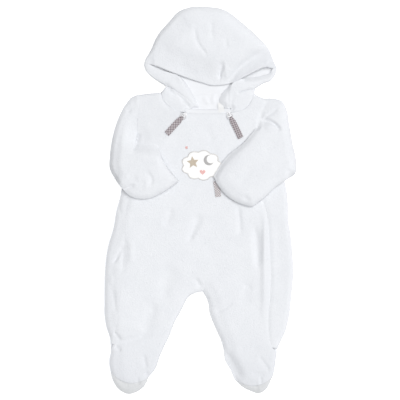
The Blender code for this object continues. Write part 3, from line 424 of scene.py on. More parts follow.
class Plan:
    """A flat cutting plan of quads, welded where its patches meet."""

    def __init__(self):
        self.pts, self.quads, self.key = [], [], {}

    def point(self, p):
        k = (round(float(p[0]), 3), round(float(p[1]), 3))
        if k not in self.key:
            self.key[k] = len(self.pts)
            self.pts.append(k)
        return self.key[k]

    def patch(self, grid):
        ids = [[self.point(p) for p in row] for row in grid]
        for r in range(len(ids) - 1):
            for c in range(len(ids[0]) - 1):
                q = [ids[r][c], ids[r][c + 1], ids[r + 1][c + 1], ids[r + 1][c]]
                q = [v for n, v in enumerate(q) if v not in q[:n]]
                if len(q) < 3:
                    continue
                area = sum(self.pts[q[n - 1]][0] * self.pts[q[n]][1] - self.pts[q[n]][0] * self.pts[q[n - 1]][1]
                           for n in range(len(q)))
                self.quads.append(q if area > 0 else q[::-1])
        return self

    def solid(self, top, under):
        """Close the plan between two height functions, its edge rounded over in two steps."""
        p = np.array(self.pts)
        n = len(p)
        zt, zb = top(p), under(p)
        zb = np.minimum(zb, zt - 0.25)
        verts = np.concatenate([np.column_stack([p, zt]), np.column_stack([p, zb])])
        faces = [tuple(q) for q in self.quads] + [tuple(v + n for v in q[::-1]) for q in self.quads]
        edges = set()
        for q in self.quads:
            edges.update(zip(q, q[1:] + q[:1]))
        for a, b in sorted(edges):
            if (b, a) not in edges:
                faces.append((a + n, b + n, b, a))
        return verts, faces


_root = bpy.context.scene.collection


def piece(name, verts, faces, mat, slot, nodes=(), body="root", sharp=None):
    mesh = bpy.data.meshes.new(name)
    mesh.from_pydata((np.asarray(verts) * MM).tolist(), [], [tuple(int(v) for v in f) for f in faces])
    bm = bmesh.new()
    bm.from_mesh(mesh)
    bmesh.ops.remove_doubles(bm, verts=bm.verts, dist=2e-7)
    bmesh.ops.recalc_face_normals(bm, faces=bm.faces)
    if bm.calc_volume(signed=True) < 0:
        bmesh.ops.reverse_faces(bm, faces=bm.faces)
    bm.to_mesh(mesh)
    bm.free()
    mesh.shade_smooth()
    if sharp is not None:
        mesh.set_sharp_from_angle(angle=math.radians(sharp))
    mesh.materials.append(mat)
    obj = bpy.data.objects.new(name, mesh)
    _root.objects.link(obj)
    bpy.context.view_layer.update()
    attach(obj, body)
    if nodes:
        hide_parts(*nodes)
    return obj


# ------------------------------------------------------------------ materials
def shader(name, colour, rough, sheen=0.0, sheen_rough=0.5):
    m = bpy.data.materials.new(name)
    m.use_nodes = True
    t = m.node_tree
    s = t.nodes["Principled BSDF"]
    s.inputs["Base Color"].default_value = (*colour, 1.0)
    s.inputs["Roughness"].default_value = rough
    s.inputs["Sheen Weight"].default_value = sheen
    s.inputs["Sheen Roughness"].default_value = sheen_rough
    s.inputs["Specular IOR Level"].default_value = 0.2
    m.diffuse_color = (*colour, 1.0)
    return m, t, s


def add(tree, kind, **values):
    n = tree.nodes.new(kind)
    for k, v in values.items():
        if k in n.inputs:
            n.inputs[k].default_value = v
        else:
            setattr(n, k, v)
    return n


def colour_mix(tree, fac, a, b):
    n = tree.nodes.new("ShaderNodeMixRGB")
    for socket, value in zip(n.inputs, (fac, a, b)):
        if isinstance(value, bpy.types.NodeSocket):
            tree.links.new(value, socket)
        elif isinstance(value, tuple):
            socket.default_value = (*value, 1.0)
        else:
            socket.default_value = value
    return n.outputs[0]


def ramp(tree, value, lo, hi):
    n = add(tree, "ShaderNodeMapRange")
    n.inputs["From Min"].default_value, n.inputs["From Max"].default_value = lo, hi
    tree.links.new(value, n.inputs["Value"])
    return n.outputs["Result"]


def plush(name, colour, seed, pile=1.0, painted_shade=None):
    """Short plush: soft clouding, tufts a couple of millimetres across with painted shade in the gaps between them, and
    fibre ends.
    The last argument paints shade: a direction, where along it the painted shade starts and ends, and how much."""
    m, t, s = shader(name, colour, 0.92, 0.12, 0.6)
    at = add(t, "ShaderNodeTexCoord").outputs["Object"]
    move = add(t, "ShaderNodeMapping")
    move.inputs["Location"].default_value = (seed * 0.37, seed * 0.21, seed * 0.11)
    t.links.new(at, move.inputs["Vector"])
    at = move.outputs["Vector"]
    clouds = add(t, "ShaderNodeTexNoise", Scale=38.0, Detail=3.0, Roughness=0.55)
    tufts = add(t, "ShaderNodeTexVoronoi", Scale=430.0, feature="SMOOTH_F1", Smoothness=0.6, Randomness=1.0)
    comb = add(t, "ShaderNodeTexNoise", Scale=260.0, Detail=4.0, Roughness=0.6, Distortion=0.8)
    fibre = add(t, "ShaderNodeTexNoise", Scale=1700.0, Detail=2.0, Roughness=0.7)
    for n in (clouds, tufts, comb, fibre):
        t.links.new(at, n.inputs["Vector"])
    dark = tuple(c * k for c, k in zip(colour, (0.985, 0.986, 0.988)))
    light = tuple(min(1.0, c * k) for c, k in zip(colour, (1.010, 1.009, 1.008)))
    base = colour_mix(t, ramp(t, clouds.outputs["Fac"], 0.35, 0.65), dark, light)
    # painted shade: root is a darker copy of the plush colour standing in for the shade deep in the pile; it is mixed
    # in the gaps between tufts and along the comb streaks
    root = tuple(c * k for c, k in zip(colour, (0.86, 0.865, 0.88)))
    tuft_gap_shade = ramp(t, tufts.outputs["Distance"], 0.35, 1.0)
    base = colour_mix(t, add_scaled(t, tuft_gap_shade, 0.30), base, root)
    base = colour_mix(t, add_scaled(t, ramp(t, comb.outputs["Fac"], 0.5, 0.72), 0.20), base, root)
    if painted_shade:
        # painted shade: along the direction the colour fades towards the darker root colour, standing in for where the
        # form lies in shade
        way, start, end, much = painted_shade
        place = add(t, "ShaderNodeVectorMath", operation="DOT_PRODUCT")
        t.links.new(add(t, "ShaderNodeTexCoord").outputs["Object"], place.inputs[0])
        place.inputs[1].default_value = (*way, 0.0)
        base = colour_mix(t, add_scaled(t, ramp(t, place.outputs["Value"], start, end), much), base, root)
    t.links.new(base, s.inputs["Base Color"])
    b1 = add(t, "ShaderNodeBump", Strength=0.40 * pile, Distance=0.0008, invert=True)
    t.links.new(tufts.outputs["Distance"], b1.inputs["Height"])
    b2 = add(t, "ShaderNodeBump", Strength=0.32 * pile, Distance=0.0009)
    t.links.new(comb.outputs["Fac"], b2.inputs["Height"])
    t.links.new(b1.outputs["Normal"], b2.inputs["Normal"])
    b3 = add(t, "ShaderNodeBump", Strength=0.35 * pile, Distance=0.00035)
    t.links.new(fibre.outputs["Fac"], b3.inputs["Height"])
    t.links.new(b2.outputs["Normal"], b3.inputs["Normal"])
    t.links.new(b3.outputs["Normal"], s.inputs["Normal"])
    return m


def slack(p, distance):
    """1 where the edge of the form is one of the slack ones, to the left and below, 0 where it lies full."""
    step = np.array([[1.0, 0.0], [0.0, 1.0]])
    way = [(distance(p + s) - distance(p - s)) / 2.0 for s in step]
    return smooth(0.5 + 0.55 * (0.90 * way[0] + 0.43 * way[1]))


def form(r, loose, full=ROLL, slope=SLOPE):
    """How high the form stands this far in from its edge, 0 to 1."""
    sloping = 0.42 * (1.0 - (1.0 - np.clip(r / 8.0, 0.0, 1.0)) ** 1.6) + 0.58 * (1.0 - (1.0 - np.clip(r / slope, 0.0, 1.0)) ** 1.3)
    return lerp(over(r / full), sloping, loose * (1.0 - smooth((r - 0.45 * slope) / (0.55 * slope))))


def add_scaled(tree, value, k):
    n = add(tree, "ShaderNodeMath", operation="MULTIPLY")
    tree.links.new(value, n.inputs[0])
    n.inputs[1].default_value = k
    return n.outputs[0]


WHITE = (0.742, 0.757, 0.788)
# painted shade: the front's colour darkens towards the feet, from y = -215 mm down to -300 mm, where they fall away
# from the light
plush_front = plush("plush_front", WHITE, 1, painted_shade=((0.0, 1.0), -0.215, -0.300, 0.42))
plush_side = plush("plush_side", WHITE, 2)
# painted shade: a darker copy of the plush for the garment's right side panel, which lies on the side away from the
# light
plush_side_right_shaded = plush("plush_side_right_shaded", tuple(c * 0.972 for c in WHITE), 7)
plush_back = plush("plush_back", WHITE, 3)
plush_sleeve = plush("plush_sleeve", WHITE, 4)
plush_hood = plush("plush_hood", WHITE, 5)
# painted shade: the crown's colour darkens towards its lower right corner, where the hood sags into shade
plush_crown = plush("plush_crown", WHITE, 5, painted_shade=((0.67, -0.74), -0.124, -0.112, 0.38))
# painted shade: the soles' plush is a darker grey copy of the white, standing in for the shade on the soles that slope
# away from the light
plush_sole = plush("plush_sole", (0.648, 0.660, 0.675), 6)

# ------------------------------------------------------------- the body lines
n_body = steps(pairs(BODY_R, 0), pairs(BODY_R, 2), pairs(BODY_R, 4), pairs(BODY_L, 0), pairs(BODY_L, 2), pairs(BODY_L, 4))
n_foot = steps(pairs(BODY_R, 0)[-1:] + pairs(FOOT_R, 0), pairs(BODY_R, 4)[-1:] + pairs(FOOT_R, 2),
               pairs(BODY_L, 0)[-1:] + pairs(FOOT_L, 0), pairs(BODY_L, 4)[-1:] + pairs(FOOT_L, 2))
n_shoulder = steps(pairs(SHOULDER_R, 0) + pairs(BODY_R, 0)[:1], pairs(SHOULDER_R, 2) + pairs(BODY_R, 2)[:1],
                   pairs(SHOULDER_L, 0) + pairs(BODY_L, 0)[:1], pairs(SHOULDER_L, 2) + pairs(BODY_L, 2)[:1])
n_leg = n_body + n_foot                    # steps from the neck to the sole's seam
R_BODY = sum(n_body)                       # fine row at the zip's lower end
R_CROTCH = sum(n_body[:CROTCH])

side_r = curve(pairs(SHOULDER_R, 0) + pairs(BODY_R, 0) + pairs(FOOT_R, 0), n_shoulder + n_leg, corners=(2,))
side_l = curve(pairs(SHOULDER_L, 0) + pairs(BODY_L, 0) + pairs(FOOT_L, 0), n_shoulder + n_leg, corners=(2,))
R_TIP, R_TOP = sum(n_shoulder[:2]), sum(n_shoulder)
inner_r = curve(pairs(BODY_R, 4) + pairs(FOOT_R, 2), n_leg, corners=(CROTCH,))
inner_l = curve(pairs(BODY_L, 4) + pairs(FOOT_L, 2), n_leg, corners=(CROTCH,))
inner_l[:R_CROTCH + 1] = inner_r[:R_CROTCH + 1]
zip_r = curve(pairs(BODY_R, 2), n_body)
zip_l = curve(pairs(BODY_L, 2), n_body)
neck_r = curve(pairs(SHOULDER_R, 2) + pairs(BODY_R, 2)[:1], n_shoulder)
neck_l = curve(pairs(SHOULDER_L, 2) + pairs(BODY_L, 2)[:1], n_shoulder)
toe_r = curve(TOE_R, [6] * 6)
toe_l = curve(TOE_L, [6] * 6)
cuts_front = graded(130.0, lo=True, hi=False)
cuts_foot = graded(66.0, step=1.5)
neck_edge = np.array([(-27, 152.5), (-8, 151.5), (12, 151), (32, 151.7), (50, 153)], float)

shoulder_line_r = np.concatenate([[(-59.3, 200), (-68.3, 189)], side_r[:R_TIP + 1]])
shoulder_line_l = np.concatenate([[(97, 196.3), (95.2, 188)], side_l[:R_TIP + 1]])
under_r = R_TOP + sum(n_body[:UNDERARM_R])
under_l = R_TOP + sum(n_body[:UNDERARM_L])
outer_round = np.concatenate([side_r[under_r:], toe_r[1:], inner_r[R_CROTCH:][::-1][1:], inner_l[R_CROTCH:][1:],
                              toe_l[::-1][1:], side_l[under_l:][::-1][1:]])
body_outline = np.concatenate([[(-68.3, 189)], side_r, toe_r[1:], inner_r[R_CROTCH:][::-1][1:], inner_l[R_CROTCH:][1:],
                               toe_l[::-1][1:], side_l[::-1][1:], [(95.2, 188)]])


def foot_rows(inner_side, outer_side, sag):
    """The rows from the zip's end to the sole's seam, whose last interval sags out over the toes."""
    return ruled(outer_side, inner_side, cuts_foot, sag=sag)


def sagging(sag):
    rows = np.zeros(sum(n_foot) + 1)
    rows[-n_foot[-1] - 1:] = sag * smooth(np.linspace(0, 1, n_foot[-1] + 1))
    return rows


seam_toe_r = ruled(side_r[-1:], inner_r[-1:], cuts_foot, sag=[-TOE_SAG])[0]
seam_toe_l = ruled(side_l[-1:], inner_l[-1:], cuts_foot, sag=[TOE_SAG])[0]


def rim(p):
    """Distance from the body's outline, shoulders and legs but not the armholes."""
    return np.minimum(off(p, outer_round, "round"),
                      np.minimum(off(p, shoulder_line_r, "sh_r"), off(p, shoulder_line_l, "sh_l")))


def body_plain(p):
    loose = slack(p, rim)
    low = MID + EDGE - 1.7 * loose
    return low + (BODY_TOP - low) * form(rim(p), loose)


# how deep each zip's valley is, and how wide, down the garment: height y | depth | half width
VALLEY_R = [(-250, 0.9, 3.5), (-205, 0.5, 4.5), (-150, 0.4, 6.0), (-128, 0.6, 6.0), (-114, 2.8, 6.0), (-78, 2.8, 6.0),
            (-66, 1.2, 5.0), (-54, 0.2, 5.0), (-34, 0.3, 5.0), (-20, 0.8, 4.5), (20, 0.5, 4.0), (60, 0.3, 4.0), (152, 0.25, 3.0)]
VALLEY_L = [(-258, 0.7, 3.0), (-215, 1.2, 3.0), (-150, 1.5, 3.2), (-60, 1.4, 3.2), (-20, 1.0, 3.5), (10, 0.5, 4.0),
            (50, 0.3, 4.0), (152, 0.25, 3.0)]


def valley(p, line, key, table):
    y, depth, width = (np.array(c, float) for c in zip(*table))
    d = off(p, line, key)
    return np.interp(p[:, 1], y, depth) * np.exp(-(d / np.interp(p[:, 1], y, width)) ** 1.6)


def body_top(p, nappy=True):
    r = rim(p)
    z = body_plain(p)
    zips = np.minimum(off(p, zip_r, "zip_r"), off(p, zip_l, "zip_l"))
    z = z - (valley(p, zip_r, "zip_r", VALLEY_R) + valley(p, zip_l, "zip_l", VALLEY_L)) * over(r / 12.0)
    toes = np.minimum(off(p, seam_toe_r, "toe_r"), off(p, seam_toe_l, "toe_l"))
    z = z - 1.3 * np.exp(-(toes / 4.5) ** 1.7) * over(r / 12.0)
    necks = np.minimum(off(p, neck_r, "neck_r"), off(p, neck_l, "neck_l"))
    z = z - 0.7 * np.exp(-(necks / 3.0) ** 1.5)
    z = z - 2.6 * (1.0 - over(off(p, neck_edge, "neck") / 7.0))
    z = z + creases(p, BODY_CREASES) * over(r / 12.0)
    if nappy:
        z = z + nap(p) * over(r / 6.0) * over(zips / 4.0 + 0.3)
    return np.maximum(z, MID + GAP / 2 + 1.2)


arm_r = side_r[R_TIP:under_r + 1]
arm_l = side_l[R_TIP:R_TOP + sum(n_body[:3]) + 1]


def air(p):
    return GAP + (AIR - GAP) * smooth((rim(p) - 3.0) / 11.0)


def body_under(p):
    return MID + air(p) / 2


def back_top(p):
    return MID - air(p) / 2


def back_under(p):
    z = (MID - EDGE - GAP / 2) * (1.0 - over(rim(p) / ROLL_UNDER))
    return np.maximum(0.0, np.minimum(z + creases(p, BACK_CREASES) * over(rim(p) / 25.0), MID - 3.0))


# ------------------------------------------------------------------- the front
plan = Plan()
for zips, inner, side, sag in ((zip_r, inner_r, side_r, -TOE_SAG), (zip_l, inner_l, side_l, TOE_SAG)):
    body = ruled(zips, inner[:R_BODY + 1], cuts_front, inset=(SEAM, 0.0))
    plan.patch(body)
    edge = side[R_TOP + R_BODY:].copy()
    back = 1.0 - np.clip(np.arange(len(edge)) / n_foot[0], 0.0, 1.0)
    edge += (body[-1, 0] - edge[0]) * (back ** 2)[:, None]
    foot = ruled(edge, inner[R_BODY:], cuts_front, sag=sagging(sag))
    foot[-1, :, 1] += SEAM
    plan.patch(foot)
front = piece("front_plush", *plan.solid(body_top, body_under), plush_front, "plush", ["front_panel"])

for name, node, neck, side, zips in (("side_plush_right", "front_side_right", neck_r, side_r, zip_r),
                                     ("side_plush_left", "front_side_left", neck_l, side_l, zip_l)):
    second = np.concatenate([neck, zips[1:]])
    grid = ruled(side[:R_TOP + R_BODY + 1], second, graded(44.0, step=1.8), inset=(SEAM, SEAM))
    # the outline keeps its full width; only the armhole is drawn back
    free = np.ones(len(grid), bool)
    free[R_TIP:(under_r if side is side_r else R_TOP + sum(n_body[:3])) + 1] = False
    grid[free, 0] = side[:len(grid)][free]
    piece(name, *Plan().patch(grid).solid(body_top, body_under), plush_side_right_shaded if side is side_r else plush_side, "plush", [node])

# -------------------------------------------------------------------- the back
plan = Plan()
back_top_rows = steps(pairs(BACK_TOP_R, 0), pairs(BACK_TOP_R, 2), pairs(BACK_TOP_L, 0), pairs(BACK_TOP_L, 2))
cuts_back = graded(150.0, lo=True, hi=False, step=2.6)
for top_rows, side, inner, toe in ((BACK_TOP_R, side_r, inner_r, toe_r), (BACK_TOP_L, side_l, inner_l, toe_l)):
    # from the hood's seam to the shoulder tip, then down the side
    outer_a = curve(pairs(top_rows, 0), back_top_rows)
    centre_a = curve(pairs(top_rows, 2), back_top_rows)
    outer_b = side[R_TIP:]
    centre_b = np.concatenate([np.linspace(centre_a[-1], inner[0], R_TOP - R_TIP + 1), inner[1:]])
    plan.patch(ruled(outer_a, centre_a, cuts_back))
    plan.patch(ruled(outer_b, centre_b, cuts_back))
    # the toes: both ends run along the toe line to its tip
    k = 18 if side is side_r else 18
    first, last = toe[:k + 1], toe[::-1][:len(toe) - k]
    t = np.linspace(0.0, 0.97, 15)
    first = np.array([[np.interp(u * (len(first) - 1), np.arange(len(first)), first[:, c]) for c in (0, 1)] for u in t])
    last = np.array([[np.interp(u * (len(last) - 1), np.arange(len(last)), last[:, c]) for c in (0, 1)] for u in t])
    plan.patch(ruled(first, last, cuts_back))
back = piece("back_plush", *plan.solid(back_top, back_under), plush_back, "plush", ["back_panel"])

# ------------------------------------------------------------------- the soles
for name, seam_line, toe in (("sole_plush_right", seam_toe_r, toe_r), ("sole_plush_left", seam_toe_l, toe_l)):
    a = seam_line - np.array([0.0, SEAM])
    at = np.concatenate([[0.0], np.cumsum(np.linalg.norm(np.diff(toe, axis=0), axis=1))])
    u = cuts_foot * at[-1] if len(a) == len(cuts_foot) else np.linspace(0, 1, len(a)) * at[-1]
    b = np.column_stack([np.interp(u, at, toe[:, 0]), np.interp(u, at, toe[:, 1])])
    grid = np.array([lerp(a, b, t) for t in graded(19.0, step=1.5)])[:, 2:-2]
    piece(name, *Plan().patch(grid).solid(body_top, body_under), plush_sole, "plush", [name.replace("_plush", "")])


# ----------------------------------------------------------------- the sleeves
def spread(line, fractions):
    line = np.array(line, float)
    at = np.concatenate([[0.0], np.cumsum(np.linalg.norm(np.diff(line, axis=0), axis=1))])
    f = np.asarray(fractions) * at[-1]
    return np.column_stack([np.interp(f, at, line[:, 0]), np.interp(f, at, line[:, 1])])


def sleeve(name, node, table, bulge, armhole, far, lines, seed, melts, sinks):
    """A flattened bent tube with a wall all round, open at the cuff."""
    counts = steps(pairs(table, 0), pairs(table, 2))
    outer, inner = curve(pairs(table, 0), counts), curve(pairs(table, 2), counts)
    row = np.concatenate([[0.0]] + [k + (np.arange(n) + 1.0) / n for k, n in enumerate(counts)])
    crest = np.interp(row, np.arange(len(table)), [r[4] for r in table])
    cuts = graded(95.0, step=2.3)
    sag = bulge * smooth(row - (len(table) - 2.0))
    grid = ruled(outer, inner, cuts, sag=sag)
    start = spread(armhole, cuts) + np.array([far, 0.0])
    grid += (start - grid[0])[None] * (np.clip(1.0 - row, 0.0, 1.0) ** 1.0)[:, None, None]
    line = np.concatenate([grid[:, 0], grid[-1, 1:-1], grid[:, -1][::-1]])
    flat = grid.reshape(-1, 2)
    turn_all = np.repeat(row, len(cuts))
    crest_all = np.repeat(crest, len(cuts))

    def heights(p, r, c):
        hold = inside(p, body_outline)
        s = off(p, body_outline) * np.where(hold, 1.0, -1.0)
        turn = smooth((r - 1.0) / 4.0)
        on = smooth((s + 16.0) / 14.0) * np.maximum(turn, smooth(s / 6.0))
        base = (BODY_TOP + SLEEVE_GAP) * on
        d = off(p, line)
        # where the tube lies on the front its edge comes down to the plush, and melts into it along some of its run
        melt = np.zeros(len(p))
        for q, reach, k in melts:
            melt = np.maximum(melt, k * np.exp(-(off(p, q) / reach) ** 2))
        melt = melt * on
        edge = lerp(lerp(9.5, 4.6, on), 0.4, melt)
        peak = np.maximum(c, base + edge + 1.0)
        loose = slack(p, lambda q: off(q, line))
        top = base + edge + (peak - base - edge) * form(d, loose, lerp(17.0, 34.0, melt), 26.0) ** lerp(1.0, 2.4, melt)
        under = base + lerp(lerp(6.5, 1.6, on), -1.6, melt) * (1.0 - over(d / 9.0))
        near_seam = off(p, armhole, name)
        top = top + creases(p, lines) * over(d / 7.0)
        top = top + lerp(nap(p), 1.15 * nap(p, seed), smooth(near_seam / 25.0)) * over(d / 7.0)
        # the sleeve starts level with the body's plush, a hair under its edge
        join = np.maximum(smooth(near_seam / 9.0), smooth((r - 1.0) / 2.5))
        ground = body_top(p)
        top = np.maximum(lerp(ground - 0.12, top, join), under + lerp(2.8, 1.4, melt))
        # in the crook it comes out of the body's plush with no edge of its own
        for q, reach, level in sinks:
            low = ground - 0.5 if level else np.minimum(top, ground - 0.8)
            top = lerp(low, top, smooth(off(p, q) / reach))
        return top, np.minimum(under, top - 1.4)

    top, under = heights(flat, turn_all, crest_all)
    rows, cols = len(row), len(cuts)
    top, under = top.reshape(rows, cols), under.reshape(rows, cols)
    span = np.linalg.norm(grid[:, -1] - grid[:, 0], axis=1)
    inset = 2.4 / span
    holes = np.empty_like(grid)
    hole_top, hole_under = np.empty_like(top), np.empty_like(under)
    for r in range(rows):
        f = inset[r] + cuts * (1 - 2 * inset[r])
        for k in (0, 1):
            holes[r, :, k] = np.interp(f, cuts, grid[r, :, k])
        t, u = np.interp(f, cuts, top[r]), np.interp(f, cuts, under[r])
        wall = np.minimum(SLEEVE_WALL, 0.36 * (t - u))
        hole_top[r], hole_under[r] = t - wall, u + wall
    verts, faces = [], []
    for g, hi, lo in ((grid, top, under), (holes, hole_top, hole_under)):
        for r in range(rows):
            verts += [(*q, z) for q, z in zip(g[r], hi[r])] + [(*q, z) for q, z in zip(g[r][::-1], lo[r][::-1])]
    ring = 2 * cols
    for shell in (0, rows * ring):
        for r in range(rows - 1):
            for c in range(ring):
                a, b = shell + r * ring + c, shell + r * ring + (c + 1) % ring
                quad = (a, b, b + ring, a + ring)
                faces.append(quad if shell == 0 else quad[::-1])
    inner0 = rows * ring
    for end in (0, rows - 1):
        for c in range(ring):
            a, b = end * ring + c, end * ring + (c + 1) % ring
            quad = (a, b, inner0 + b, inner0 + a)
            faces.append(quad if end else quad[::-1])
    return piece(name, verts, faces, plush_sleeve, "plush", [node])


sleeve("sleeve_plush_right", "sleeve_right", SLEEVE_R, CUFF_BULGE_R, arm_r, 0.6, SLEEVE_CREASES_R, 11,
       [], [([(-110, 132), (-110, 106), (-92, 103.4), (-76, 102.4)], 30.0, False)])
sleeve("sleeve_plush_left", "sleeve_left", SLEEVE_L, CUFF_BULGE_L, arm_l, -0.6, SLEEVE_CREASES_L, 17,
       [([(98, 132), (87, 113), (66, 92), (41, 69), (24, 44)], 8.0, 0.5)],
       [([(98.5, 150), (98.2, 129)], 10.0, True)])

# -------------------------------------------------------------------- the hood
n_dome = steps(DOME, BRIM, step=2.0)
dome_line = curve(DOME, n_dome)
brim_line = curve(BRIM, n_dome)


def crown_shape(p):
    d, b = off(p, dome_line, "dome"), off(p, brim_line, "brim")
    low = 1.0 - 0.30 * (1.0 - smooth(b / 45.0))
    return d, b, CROWN_RISE * form(d, slack(p, lambda q: off(q, dome_line)), 26.0, 50.0) * low


# height of the brim's lower edge along x: it lies low over the face and on the hood's sides
UNDER_BRIM = [(-98.5, 10.0), (-91, 12.0), (-80, 14.6), (-60, 15.6), (-40, 15.2), (-28, 13.4), (-10, 12.0), (10, 11.6),
              (34, 11.8), (44, 13.2), (56, 15.2), (66, 15.8), (80, 15.8), (100, 15.6), (115, 14.0), (126, 11.5)]
HOOD_CORNERS = [(-95, 238.7), (130.5, 231.2)]


def brim_edge(p):
    return np.interp(p[:, 0], [q[0] for q in UNDER_BRIM], [q[1] for q in UNDER_BRIM])


def at_corner(p, z, lower=0.0):
    """The same height for crown and side where they close at the hood's corners."""
    shared = 11.0 + 4.0 * over(off(p, round_hood, "hoodround") / 10.0) - lower
    w = np.ones(len(p))
    for c in HOOD_CORNERS:
        w = np.minimum(w, smooth((np.linalg.norm(p - np.array(c), axis=1) - 5.0) / 12.0))
    return shared * (1.0 - w) + z * w


def crown_top(p):
    d, b, rise = crown_shape(p)
    z = MID + GAP / 2 + EDGE + rise
    edge = np.minimum(z, brim_edge(p) + 1.0 + 1.9 * over(b / 3.0))
    z = lerp(edge, z, smooth(b / 60.0) ** 0.8)
    z = z + (creases(p, HOOD_CREASES) + 1.2 * nap(p, 23)) * over(d / 12.0) * over(b / 6.0 + 0.15)
    return at_corner(p, np.maximum(z, MID + GAP / 2 + 2.4))


def crown_under(p):
    d, b, rise = crown_shape(p)
    z = MID + GAP / 2 + np.maximum(0.0, rise - 3.4 * smooth(d / 16.0))
    z = lerp(np.minimum(z, brim_edge(p)), z, smooth(b / 60.0) ** 0.8)
    return np.minimum(z, crown_top(p) - 1.0)


n_low = steps(BACK_LOW, BACK_HIGH, step=2.6)
low_line, high_line = curve(BACK_LOW, n_low, corners=(7,)), curve(BACK_HIGH, n_low)
round_hood = np.concatenate([low_line[:sum(n_low[:4]) + 1][::-1], dome_line, low_line[::-1][:sum(n_low[-4:]) + 1]])

cuts_dome = graded(118.0, step=2.2)
grid = brim_line[None] + (dome_line - brim_line)[None] * cuts_dome[:, None, None]
crown = piece("hood_crown_plush", *Plan().patch(grid).solid(crown_top, crown_under), plush_crown, "plush", ["hood_crown"])

cuts_nape = graded(130.0, step=2.8)
grid = low_line[None] + (high_line - low_line)[None] * cuts_nape[:, None, None]


def nape_under(p):
    z = (MID - EDGE) * (1.0 - over(off(p, round_hood, "hoodround") / ROLL_UNDER))
    return z


piece("hood_back_plush", *Plan().patch(grid).solid(lambda p: np.full(len(p), MID - GAP / 2), nape_under),
      plush_hood, "plush", ["hood_back"])


def hood_side(name, node, table, tuck, slant, soft, neck, shoulder_line, open_edge, fold_line, second_roll, seed):
    """tuck moves the front edge up under the brim at each row; open_edge and fold_line say where they show."""
    n_fold = steps(pairs(table, 0), pairs(table, 2), step=1.7)
    front = [(x + slant * t, y + 0.94 * t) for (x, y), t in zip(pairs(table, 2), tuck)]
    back = [(x, y + 1.0) if k == 0 else (x, y) for k, (x, y) in enumerate(pairs(table, 0))]
    front[0] = (front[0][0], front[0][1] + 0.5)
    fold, front_edge = curve(back, n_fold), curve(front, n_fold)
    n_neck = n_fold[4:4 + len(neck) - 1]
    seam_line = curve(neck, n_neck)
    start = sum(n_fold[:4])
    band = ruled(fold, front_edge, graded(24.0, step=1.5), inset=(0.0, 0.2))
    base = ruled(fold[start:start + len(seam_line)], seam_line, graded(28.0, lo=True, hi=True, step=1.5), inset=(0.0, SEAM))
    plan = Plan().patch(band).patch(base)
    mid_x = np.array([(r[0] + r[2]) / 2 for r in table])
    peak_z = np.array([r[4] for r in table], float)
    order = np.argsort(mid_x)
    edge_line = np.concatenate([fold[:start + 1], [shoulder_line[1]]])

    def top(p):
        peak = np.interp(p[:, 0], mid_x[order], peak_z[order])
        lo = MID + EDGE
        a, b = off(p, fold, name + "fold"), off(p, front_edge, name + "front")
        shows, sunk = open_edge(p[:, 0]), 1.0 - 0.70 * fold_line(p[:, 0])
        r = np.minimum(lerp(np.ones(len(p)), smooth((b + 1.0) / soft), shows), sunk + (1.0 - sunk) * over(a / 6.0))
        r = np.minimum(r, over(off(p, edge_line, name + "edge") / 11.0))
        r = np.minimum(r, 0.62 + 0.38 * over(off(p, seam_line, name + "neck") / 6.0))
        z = lo - 1.2 * shows * (1.0 - over(b / 5.0)) + (peak - lo) * r + 0.2
        z = z + (creases(p, second_roll) + nap(p, seed)) * over(b / 4.0) * over(off(p, edge_line, name + "edge") / 6.0)
        return at_corner(p, np.maximum(z, MID + 1.9), 0.15)

    ends = [front_edge[-1], fold[-1], seam_line[-1]]

    def ended(p):
        # at the neck seam's end it comes down to the binding
        z = top(p)
        return lerp(np.minimum(z, 13.2), z, smooth(off(p, ends, name + "ends") / 8.0))

    return piece(name, *plan.solid(ended, lambda p: np.full(len(p), MID + GAP / 2)), plush_hood, "plush", [node])


hood_side("hood_side_plush_right", "hood_side_right", SIDE_R, [0.6, 0.6, 1.7, 2.6, 0.8, 0, 0, 0, 0], 0.35, 8.0,
          NECK_R, shoulder_line_r, lambda x: smooth((x + 36.0) / 10.0), lambda x: 1.0 - 0.8 * smooth((x + 57.0) / 42.0),
          [([(-36, 174.5), (-28, 168), (-19, 161.5), (-12, 157)], 2.2, -1.9, -0.3),
           ([(-46, 191), (-36, 182), (-25, 171), (-15, 161)], 2.6, -1.9, 0.3),
           ([(-66, 206), (-57, 196), (-49, 188), (-38, 182)], 4.0, -2.8, 0.0),
           ([(-44, 217.5), (-35, 211), (-25, 204)], 3.0, 0.9, 0.0),
           ([(-66, 184), (-58, 172), (-44, 162), (-28, 156)], 3.0, -0.6, 0.0)], 31)
hood_side("hood_side_plush_left", "hood_side_left", SIDE_L, [0, 0, 0, 0, 0.6, 2.4, 0.8, 0, 0, 0, 0], -0.35, 12.0,
          NECK_L, shoulder_line_l, lambda x: 1.0 - smooth((x - 46.0) / 10.0) + smooth((x - 70.0) / 10.0),
          lambda x: smooth((x - 62.0) / 12.0),
          [([(62, 186), (56, 178), (54, 168), (53, 158)], 4.0, -0.9, 0.0),
           ([(96, 194), (82, 186), (70, 182)], 3.4, -0.7, 0.2)], 37)

# ------------------------------------------------------------------- the lining
jersey, jt, js = shader("jersey_lining", (0.770, 0.782, 0.812), 0.8, 0.1, 0.4)
at = add(jt, "ShaderNodeTexCoord").outputs["Object"]
knit = add(jt, "ShaderNodeTexWave", Scale=560.0, Distortion=0.6, Detail=1.0, bands_direction="X")
purl = add(jt, "ShaderNodeTexWave", Scale=620.0, Distortion=0.6, Detail=1.0, bands_direction="Y")
soft = add(jt, "ShaderNodeTexNoise", Scale=60.0, Detail=3.0)
for n in (knit, purl, soft):
    jt.links.new(at, n.inputs["Vector"])
jt.links.new(colour_mix(jt, add_scaled(jt, soft.outputs["Fac"], 0.3), (0.770, 0.782, 0.812), (0.725, 0.738, 0.772)), js.inputs["Base Color"])
jb = add(jt, "ShaderNodeBump", Strength=0.3, Distance=0.0002)
jt.links.new(colour_mix(jt, 0.5, knit.outputs["Color"], purl.outputs["Color"]), jb.inputs["Height"])
jt.links.new(jb.outputs["Normal"], js.inputs["Normal"])

